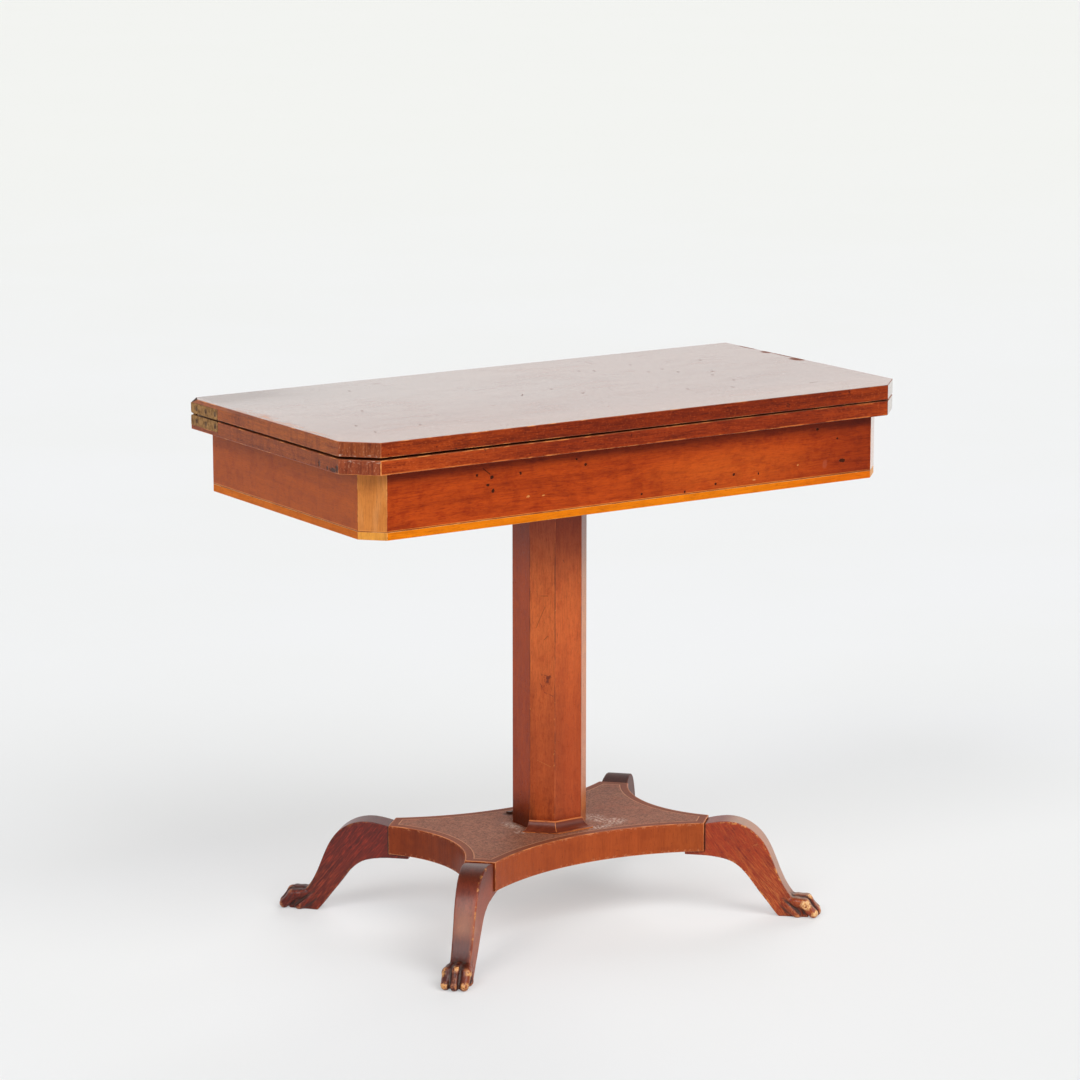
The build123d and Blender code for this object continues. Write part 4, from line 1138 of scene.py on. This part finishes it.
def skin_of(field):
    """The surface where the field is zero: one vertex in each cell that it
    crosses, and one face for each grid edge that it crosses."""
    inside = field < 0
    cells = tuple(n - 1 for n in field.shape)
    total = np.zeros(cells + (3,))
    count = np.zeros(cells)
    for axis in range(3):
        others = [k for k in range(3) if k != axis]
        for first, second in itertools.product((0, 1), repeat=2):
            begin = [0, 0, 0]
            begin[others[0]], begin[others[1]] = first, second
            finish = list(begin)
            finish[axis] = 1
            here = field[tuple(slice(b, b + n) for b, n in zip(begin, cells))]
            there = field[tuple(slice(f, f + n) for f, n in zip(finish, cells))]
            crossed = (here < 0) != (there < 0)
            gap = np.where(crossed, here - there, 1.0)
            for k in range(3):
                reach = here / gap if k == axis else begin[k]
                total[..., k] += np.where(crossed, reach, 0)
            count += crossed
    used = count > 0
    number = np.full(cells, -1)
    number[used] = np.arange(used.sum())
    points = np.argwhere(used) + total[used] / count[used][:, None]
    faces = []
    for axis in range(3):
        one, two = [(1, 2), (2, 0), (0, 1)][axis]
        inner = [slice(1, -1)] * 3
        inner[axis] = slice(0, -1)
        ahead = list(inner)
        ahead[axis] = slice(1, None)
        now, then = inside[tuple(inner)], inside[tuple(ahead)]
        spots = np.argwhere(now != then)
        base = np.array([1, 1, 1])
        base[axis] = 0
        spots = spots + base
        leaving = now[now != then]
        ring = []
        for step_one, step_two in ((-1, -1), (0, -1), (0, 0), (-1, 0)):
            cell = spots.copy()
            cell[:, one] += step_one
            cell[:, two] += step_two
            ring.append(number[tuple(cell.T)])
        quads = np.stack(ring, 1)
        quads[~leaving] = quads[~leaving][:, ::-1]
        faces.append(quads)
    return points, np.concatenate(faces)


def sampled(field, points):
    """The field's values at places given in grid cells."""
    index = np.clip(np.round(points).astype(int), 0, np.array(field.shape) - 1)
    return field[tuple(index.T)]


def share_above(values, start, width):
    """0 up to the start, 1 from a width beyond it."""
    return np.clip((values - start) / width, 0, 1)


def leg_mesh():
    """The carved leg, with masks of where it is worn, deep, turned up or on its crest."""
    low, x, shape, near_groove = leg_field()
    shape = np.where(x > paw_start, blurred(shape, 1), shape)
    points, faces = skin_of(shape)
    mesh = bpy.data.meshes.new("leg_carving")
    places = points * grid_step + low
    mesh.from_pydata((places * millimetre).tolist(), [], faces.tolist())
    soft = blurred(shape, 3)
    bend = 6 * soft
    for axis in range(3):
        bend -= np.roll(soft, 1, axis) + np.roll(soft, -1, axis)
    bend = -blurred(bend, 1) / grid_step**2
    curve = sampled(bend, points)
    worn = share_above(curve, 0.18, 0.12)
    groove = 1 - share_above(sampled(near_groove, points), 0.0, 0.9)
    deep = np.maximum(groove, share_above(-curve, 0.05, 0.12))
    slope = np.stack(np.gradient(soft), -1)
    unit = slope / np.maximum(np.linalg.norm(slope, axis=-1, keepdims=True), 1e-6)
    over = share_above(sampled(unit[..., 2], points), 0.75, 0.2)
    level = sampled(np.hypot(unit[..., 0], unit[..., 2]), points)
    outward = sampled(unit[..., 0] + unit[..., 2], points)
    crest = share_above(level, 0.8, 0.15) * (outward > 0)
    marks = {"worn": worn, "deep": deep, "over": over, "crest": crest}
    for name, values in marks.items():
        layer = mesh.attributes.new(name, "FLOAT", "POINT")
        layer.data.foreach_set("value", values.astype(np.float32))
    home = mesh.attributes.new("home", "FLOAT_VECTOR", "POINT")
    home.data.foreach_set("vector", (places * millimetre).astype(np.float32).ravel())
    return mesh


def leg_place(side_x, side_y):
    """Where a leg stands: its root at the platform, turned outward."""
    turn = Matrix.Rotation(math.atan2(side_y, side_x), 4, "Z")
    root = Vector((side_x * leg_root[0], side_y * leg_root[1], 0)) * millimetre
    return Matrix.Translation(root) @ turn


# The wood of each leg, and how strongly flecks, wear, painted sheen and painted reflection show on
# it
leg_looks = {
    "front_left": {
        "base": (0.20, 0.026, 0.006), "seed": 3.0, "fleck_tone": tone(150, 66, 40),
        "fleck": 0.35, "knuckles": 0.9, "arris_wear": 0.6, "painted_sheen": 0.34,
    },
    "front_right": {
        "base": (0.35, 0.032, 0.001), "seed": 5.0, "fleck_tone": tone(206, 104, 40),
        "fleck": 0.34, "knuckles": 0.95, "arris_wear": 0.8, "worn_and_sheen_side": -1.0, "pale": 0.45,
    },
    "back_left": {
        "base": (0.125, 0.007, 0.002), "seed": 7.0, "fleck_tone": tone(176, 50, 26),
        "fleck": 0.5, "knuckles": 0.0, "arris_wear": 0.15,
    },
    "back_right": {
        "base": (0.10, 0.016, 0.005), "seed": 11.0, "fleck_tone": tone(110, 52, 34),
        "fleck": 0.3, "knuckles": 0.5, "arris_wear": 0.5, "gloss": 0.08,
    },
}


def make_legs():
    """Four copies of the carved leg, each with its own wood."""
    carving = leg_mesh()
    for corner, settings in leg_looks.items():
        look = leg_look("leg_" + corner + "_wood", **settings)
        side_x = -1 if corner.endswith("left") else 1
        side_y = -1 if corner.startswith("front") else 1
        mesh = carving.copy()
        mesh.transform(leg_place(side_x, side_y))
        mesh.materials.append(look)
        piece = new_piece("leg_" + corner + "_carved", mesh, "stand")
        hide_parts("leg_" + corner)


make_legs()


# Leaves, frieze, column, mouldings and platform


def arris_look(name, base, seed, colour=golden, some=(0.40, 0.58), fades=False):
    """An arris, rubbed and chipped. It may fade towards the table's right end."""
    wood = Wood(name, *warm(base), "X", seed)
    wood.shade(wood.patch(28.0, seed, 3.0, 0.6, *some), colour)
    chip = wood.patch(7.0, seed + 2.0, 3.0, 0.7, 0.60, 0.68)
    wood.stain(chip, (0.30, 0.22, 0.20), 0.8)
    wood.raise_by(chip, -0.25)
    if fades:
        wood.stain(wood.beyond("X", -80.0, 240.0), (0.42, 0.34, 0.32), 0.85)
    return wood.done(specular=0.3)


def plain_wood(name, base, axis, seed, specular, marks=None, coat=0.0, contrast=0.2, **more):
    """A finished wood look. The grain runs along the axis, the seed moves its
    figure, and marks adds what is special to one face."""
    wood = Wood(name, *warm(base, contrast), axis, seed, **more)
    if marks:
        marks(wood)
    return wood.done(specular=specular, coat=coat, coat_rough=0.12)


def leaf_pick(outward):
    """Numbers of a leaf's looks: 0 broad outer face, 1 front and back edges,
    2 left cut corner, 3 ends, 4 inner face, 5 right cut corner."""

    def pick(normal, middle):
        if abs(normal.z) > 0.7:
            return 0 if normal.z * outward > 0 else 4
        if abs(normal.y) > 0.95:
            return 1
        if abs(normal.x) > 0.95:
            return 3
        return 2 if middle.x < 0 else 5

    return pick


# Figure and grain that several looks share
edge_grain = {"figure": 7.0, "contrast": 0.3, "grain": 0.8, "mottle": 0.5}
cant_grain = {"figure": 5.0, "contrast": 0.35, "grain": 0.8, "mottle": 0.5}
end_grain = {"figure": 6.0, "contrast": 0.25, "grain": 0.6, "mottle": 0.5}
corner_grain = {"figure": 8.0, "contrast": 0.1, "grain": 0.25}
band_grain = {"rough": 0.4, "figure": 5.0, "contrast": 0.1, "grain": 0.2}
post_grain = {"rough": 0.3, "contrast": 0.12, "mottle": 0.25}

top_look = plain_wood(
    "top_veneer", (0.26, 0.085, 0.042), "X", seed=1.0, specular=0.5, marks=top_marks, rough=0.22,
    coat=0.9, contrast=0.1, grain=0.3, mottle=0.2,
)
inner_look = plain_wood(
    "inner_veneer", (0.36, 0.12, 0.05), "X", seed=2.0, specular=0.35, rough=0.35
)
under_look = plain_wood(
    "under_veneer", (0.30, 0.11, 0.05), "X", seed=4.0, specular=0.2, rough=0.55
)
upper_edge = plain_wood(
    "upper_edge_veneer", (0.345, 0.043, 0.003), "X", seed=6.0, specular=0.12, marks=edge_marks,
    **edge_grain,
)
lower_edge = plain_wood(
    "lower_edge_veneer", (0.40, 0.052, 0.005), "X", seed=8.0, specular=0.12,
    marks=lower_edge_marks, **edge_grain,
)
upper_cant = plain_wood(
    "upper_corner_veneer", (0.30, 0.066, 0.016), "Z", seed=10.0, specular=0.2,
    marks=partial(cant_marks, low=745.0, high=741.0), **cant_grain,
)
lower_cant = plain_wood(
    "lower_corner_veneer", (0.335, 0.070, 0.022), "Z", seed=12.0, specular=0.2,
    marks=partial(cant_marks, low=730.0, high=736.0), **cant_grain,
)
# The right cut corners are paler than the left ones: partly their own veneer, partly a painted
# reflection of the pale backdrop seen at a grazing angle.
far_cant = plain_wood(
    "far_corner_veneer", (0.34, 0.20, 0.09), "Z", seed=13.0, specular=0.2, marks=edge_marks,
    coat=1.0, rough=0.25, figure=5.0, contrast=0.3, grain=0.7,
)
upper_end = plain_wood(
    "upper_end_veneer", (0.395, 0.087, 0.007), "Y", seed=14.0, specular=0.2, marks=end_marks,
    **end_grain,
)
lower_end = plain_wood(
    "lower_end_veneer", (0.31, 0.058, 0.003), "Y", seed=15.0, specular=0.2, marks=end_marks,
    **end_grain,
)
leaf_arris = arris_look(
    "leaf_arris", (0.36, 0.075, 0.018), 16.0, tone(226, 140, 72), (0.50, 0.62), fades=True
)
upper_piece = dressed(
    "upper_leaf",
    [top_look, upper_edge, upper_cant, upper_end, inner_look, far_cant],
    leaf_pick(1), wide_rounding, leaf_arris,
)
lower_piece = dressed(
    "lower_leaf",
    [under_look, lower_edge, lower_cant, lower_end, inner_look, far_cant],
    leaf_pick(-1), wide_rounding, leaf_arris,
)


def break_corner(piece, look):
    """The back left corner of the top is broken off above the hinge plate."""
    work = bmesh.new()
    work.from_mesh(piece.data)
    corner = Vector((-half_top, top_back, table_height)) * millimetre
    away = Vector((-0.58, 0.26, 0.77)).normalized()
    bmesh.ops.bisect_plane(
        work,
        geom=[*work.verts, *work.edges, *work.faces],
        plane_co=corner - away * broken_corner_depth * millimetre,
        plane_no=away,
        clear_outer=True,
    )
    rim = [edge for edge in work.edges if edge.is_boundary]
    made = bmesh.ops.contextual_create(work, geom=rim)
    for face in made["faces"]:
        face.material_index = len(piece.data.materials)
    work.to_mesh(piece.data)
    work.free()
    piece.data.materials.append(look)


def part_leaves(piece, level, lift, drop):
    """Old leaves warp: this face moves away from the other leaf at the front
    left corner, towards it at the front right one, not at all at the hinges."""
    for vertex in piece.data.vertices:
        place = vertex.co / millimetre
        if abs(place.z - level) < warped_depth:
            leftward = (half_top - place.x) / (2 * half_top)
            forward = max((top_back - place.y) / (top_back - top_front), 0.0)
            moved = lift * leftward - drop * (1 - leftward)
            vertex.co.z += moved * forward * millimetre


break_corner(upper_piece, bare_wood("broken_wood", (74, 46, 30), 65.0))
part_leaves(upper_piece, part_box("upper_leaf")[0][2] / millimetre, lift=0.5, drop=0.4)
part_leaves(lower_piece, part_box("lower_leaf")[1][2] / millimetre, lift=-0.8, drop=-0.4)

frieze_front_look = plain_wood(
    "frieze_front_veneer", (0.46, 0.057, 0.004), "X", seed=18.0, specular=0.1,
    marks=frieze_front_marks, figure=10.0, contrast=0.22, grain=0.5, mottle=0.5,
)
frieze_left_look = plain_wood(
    "frieze_left_veneer", (0.46, 0.083, 0.002), "Y", seed=20.0, specular=0.15,
    marks=frieze_side_marks, figure=14.0, contrast=0.12, grain=0.2, mottle=0.45,
)
frieze_cant_look = plain_wood(
    "frieze_corner_veneer", (0.67, 0.235, 0.044), "Z", seed=22.0, specular=0.2,
    marks=frieze_cant_marks, **corner_grain,
)
frieze_far_cant_look = plain_wood(
    "frieze_far_corner_veneer", (0.60, 0.200, 0.038), "Z", seed=23.0, specular=0.25,
    marks=frieze_cant_marks, coat=1.0, rough=0.25, **corner_grain,
)
frieze_back_look = plain_wood(
    "frieze_back_wood", (0.34, 0.11, 0.035), "X", seed=24.0, specular=0.25, rough=0.6
)
frieze_inner = bare_wood("frieze_inner_wood", (196, 156, 108), 26.0)
frieze_arris = arris_look("frieze_arris", (0.42, 0.07, 0.012), 28.0)
outer_looks = {
    "frieze_front": (frieze_front_look, (0, -1)),
    "frieze_left": (frieze_left_look, (-1, 0)),
    "frieze_right": (frieze_left_look, (1, 0)),
    "frieze_back": (frieze_back_look, (0, 1)),
    "frieze_corner_left": (frieze_cant_look, (-0.707, -0.707)),
    "frieze_corner_right": (frieze_far_cant_look, (0.707, -0.707)),
}


def facing(direction):
    """0 for a face that looks this way, else 1."""

    def pick(normal, middle):
        return 0 if normal.x * direction[0] + normal.y * direction[1] > 0.9 else 1

    return pick


for node, (look, direction) in outer_looks.items():
    slot = "corner_wood" if "corner" in node else "frieze_wood"
    dressed(node, [look, frieze_inner], facing(direction), fine_rounding, frieze_arris)

band_front = plain_wood(
    "band_front_wood", (0.82, 0.212, 0.001), "X", seed=30.0, specular=0.08, marks=band_marks,
    **band_grain,
)
band_side = plain_wood(
    "band_side_wood", (0.67, 0.152, 0.002), "Y", seed=32.0, specular=0.08, **band_grain
)
band_cant = plain_wood(
    "band_corner_wood", (0.78, 0.325, 0.046), "Z", seed=34.0, specular=0.2, **band_grain
)
band_arris = arris_look("band_arris", (0.66, 0.24, 0.03), 36.0, tone(236, 170, 90))
for node, look in (
    ("frieze_band_front", band_front),
    ("frieze_band_left", band_side),
    ("frieze_band_right", band_side),
    ("frieze_band_corner_left", band_cant),
    ("frieze_band_corner_right", band_cant),
):
    dressed(node, [look], only_one, fine_rounding, band_arris)

column_looks = []
for name, base, seed, low_stain, streaky, grain in (
    ("column_veneer", (0.83, 0.194, 0.047), 38.0, (0.48, 0.36, 0.34), 0.15, 0.35),
    ("column_left_veneer", (0.52, 0.070, 0.002), 39.0, (0.78, 0.70, 0.52), 0.2, 0.3),
    # The front right face is paler: partly its veneer, partly a painted reflection seen at a
    # grazing angle.
    ("column_right_painted_reflection_veneer", (0.80, 0.31, 0.09), 41.0, (0.86, 0.80, 0.74), 0.15, 0.3),
):
    marks = partial(column_marks, low_stain=low_stain)
    grains = {"streaky": streaky, "grain": grain, **post_grain}
    column_looks.append(plain_wood(name, base, "Z", seed, 0.2, marks, **grains))
column_end = bare_wood("column_end_wood", (186, 140, 96), 40.0, "Z")
column_seam = Wood("column_seam", *warm((0.48, 0.095, 0.022)), "Z", 42.0)
seam_marks(column_seam)
column_seam = column_seam.done(specular=0.3)


def column_pick(normal, middle):
    """0 for the outer faces, 1 for the darker left one, 3 for the one at the
    front right, paler partly as a painted reflection, 2 for the rest."""
    outside = math.hypot(middle.x, middle.y) > column_core
    if abs(normal.z) > 0.5 or not outside:
        return 2
    if normal.x > 0.5 and normal.y < -0.5:
        return 3
    return 1 if normal.x < -0.9 else 0


plain_look, left_look, right_painted_reflection_look = column_looks
dressed(
    "column", [plain_look, left_look, column_end, right_painted_reflection_look],
    column_pick, rounding, column_seam,
)

moulding_look = plain_wood(
    "moulding_wood", (0.19, 0.036, 0.014), "X", seed=44.0, specular=0.3, marks=moulding_marks,
    figure=6.0,
)
moulding_arris = arris_look(
    "moulding_arris", (0.24, 0.052, 0.014), 46.0, tone(212, 128, 72), (0.38, 0.52)
)
moulding_back_look = plain_wood(
    "moulding_back_wood", (0.075, 0.030, 0.018), "X", seed=43.0, specular=0.2, figure=6.0
)
moulding_looks = {
    "front": (moulding_look, moulding_arris),
    "front_left": (moulding_look, moulding_arris),
    "back_right": (moulding_look, moulding_arris),
    "back": (moulding_back_look, moulding_back_look),
}
for side, (look, worn_look) in moulding_looks.items():
    dressed("foot_moulding_" + side, [look], only_one, rounding, worn_look)

platform_look = plain_wood(
    "platform_veneer", (0.29, 0.119, 0.070), "X", seed=48.0, specular=0.2, marks=platform_marks,
    rough=0.6, figure=10.0, contrast=0.08, streaky=0.05, grain=0.1, mottle=0.2,
)
platform_side = plain_wood(
    "platform_edge_veneer", (0.39, 0.068, 0.010), "Z", seed=50.0, specular=0.2,
    marks=platform_edge_marks, figure=9.0, contrast=0.12, streaky=0.1, grain=0.3, mottle=0.3,
)
# The left edge's look is a darker copy of the edge's, as painted shade on the hollow left side.
platform_shaded_side = plain_wood(
    "platform_left_edge_painted_shade", (0.225, 0.034, 0.005), "Z", seed=52.0, specular=0.2,
    marks=platform_edge_marks, figure=9.0, contrast=0.15, streaky=0.15, grain=0.35, mottle=0.4,
)
platform_under = bare_wood("platform_under_wood", (170, 112, 78), 51.0)
platform_arris = arris_look("platform_arris", (0.40, 0.095, 0.025), 53.0, tone(206, 126, 74))


def platform_pick(normal, middle):
    """0 for the top, 1 for the edges, 2 for the left edge, darker as painted shade, 3 beneath."""
    if abs(normal.z) > 0.7:
        return 0 if normal.z > 0 else 3
    return 2 if middle.x < -120.0 and normal.x < -0.3 else 1


dressed(
    "platform",
    [platform_look, platform_side, platform_shaded_side, platform_under],
    platform_pick, wide_rounding, platform_arris,
)

# Inner and metal parts, which keep their CAD mesh

inner_wood = bare_wood("inner_softwood", (206, 170, 122), 55.0)
hard_inner = bare_wood("inner_hardwood", (176, 124, 82), 58.0)
brass_look = aged_brass()
iron_look = old_iron("old_iron", tone(70, 64, 60), 60.0)
dark_screw = old_iron("dark_screw", tone(122, 90, 56), 62.0)
for node in nodes:
    first_slot = nodes[node].data.materials[0].name.split(".")[0]
    if node in ("upper_baize", "lower_baize"):
        continue
    if first_slot == "brass":
        repaint(node, brass_look)
    elif first_slot == "iron":
        repaint(node, iron_look)
    elif first_slot == "carcass_wood":
        repaint(node, inner_wood)
for node in ("upper_hinge_screws", "lower_hinge_screws"):
    repaint(node, dark_screw)
for node in ("stop_peg", "leg_dowels", "column_upper_wedge", "column_lower_wedge"):
    repaint(node, hard_inner)


# Baize

baize_look = green_baize()


def make_baize(node):
    """The cloth: the CAD sheet with a soft edge, glued in the leaf's bed."""
    work = clean_copy(node)
    soften(work, cloth_rounding, 0)
    mesh = mesh_of(work, node + "_cloth", [baize_look])
    cloth = new_piece(node + "_cloth", mesh, node_body[node])
    mesh.set_sharp_from_angle(angle=math.radians(cloth_crease_angle))
    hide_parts(node)


make_baize("upper_baize")
make_baize("lower_baize")


# Floor, light and camera

floor_half = 60.0
floor_mesh = bpy.data.meshes.new("floor")
floor_mesh.from_pydata(
    [(x * floor_half, y * floor_half, 0.0) for x, y in ((-1, -1), (1, -1), (1, 1), (-1, 1))],
    [], [(0, 1, 2, 3)],
)
floor = in_scene("floor", floor_mesh)
floor_mesh.materials.append(floor_look())


def direction_to(azimuth, elevation):
    """From the table towards a place. Azimuth 0 is in front, 90 at the right."""
    turn, rise = math.radians(azimuth), math.radians(elevation)
    level = math.cos(rise)
    return Vector((math.sin(turn) * level, -math.cos(turn) * level, math.sin(rise)))


def soft_sun(name, azimuth, elevation, strength, spread):
    """A large soft light that shines from this direction."""
    data = bpy.data.lights.new(name, "SUN")
    data.energy = strength
    data.angle = math.radians(spread)
    lamp = in_scene(name, data)
    lamp.rotation_mode = "QUATERNION"
    lamp.rotation_quaternion = direction_to(azimuth, elevation).to_track_quat("Z", "Y")
    return lamp


soft_sun("front_softbox", azimuth=10.0, elevation=45.0, strength=1.82, spread=40.0)
soft_sun("left_softbox", azimuth=-64.0, elevation=38.0, strength=1.0, spread=26.0)
back_softbox = soft_sun(
    "back_softbox", azimuth=130.0, elevation=20.0, strength=1.88, spread=40.0
)
back_softbox.visible_glossy = False

world = bpy.data.worlds.new("studio")
bpy.context.scene.world = world
world.use_nodes = True
studio = Nodes(world.node_tree)


def backdrop(colour, strength):
    """A world shader of one colour."""
    return studio.fill(studio.add("Background"), {"Color": colour, "Strength": strength})[0]


def choose(share, first, second):
    """The first world shader where the share is 0, the second where it is 1."""
    return studio.fill(studio.add("MixShader"), {0: share, 1: first, 2: second})[0]


# Gloss shows the pale backdrop behind the table, and a dim room before it
generated = studio.add("TexCoord").outputs["Generated"]
behind = studio.vector("DOT_PRODUCT", generated, (0.50, 0.77, 0.40))
mirrored = backdrop((1.0, 0.995, 0.98), studio.step(behind, -0.3, 0.5, start=0.2, end=0.91))
path = studio.add("LightPath").outputs
either = studio.calc("MAXIMUM", path["Is Glossy Ray"], path["Is Transmission Ray"])
unseen = choose(either, backdrop((1.0, 1.0, 1.0), 0.28), mirrored)
whole = choose(path["Is Camera Ray"], unseen, backdrop((0.880, 0.890, 0.870), 1.0))
studio.fill(studio.add("OutputWorld"), {"Surface": whole})

camera_azimuth = -33.278
camera_elevation = 11.820
camera_distance = 5.2195
camera_shift_right = -0.01342
camera_target_height = 0.54396
right = direction_to(camera_azimuth + 90.0, 0.0)
back = direction_to(camera_azimuth, camera_elevation)
camera_data = bpy.data.cameras.new("camera")
camera_data.lens = 123.49
camera_data.sensor_width = 36.0
camera_data.clip_start = 0.1
camera_data.clip_end = 200.0
camera = in_scene("camera", camera_data)
target = Vector((0.0, 0.0, camera_target_height)) + right * camera_shift_right
camera.location = target + back * camera_distance
camera.rotation_mode = "QUATERNION"
camera.rotation_quaternion = (-back).to_track_quat("-Z", "Y")
bpy.context.scene.camera = camera
bpy.context.scene.view_settings.view_transform = "Standard"
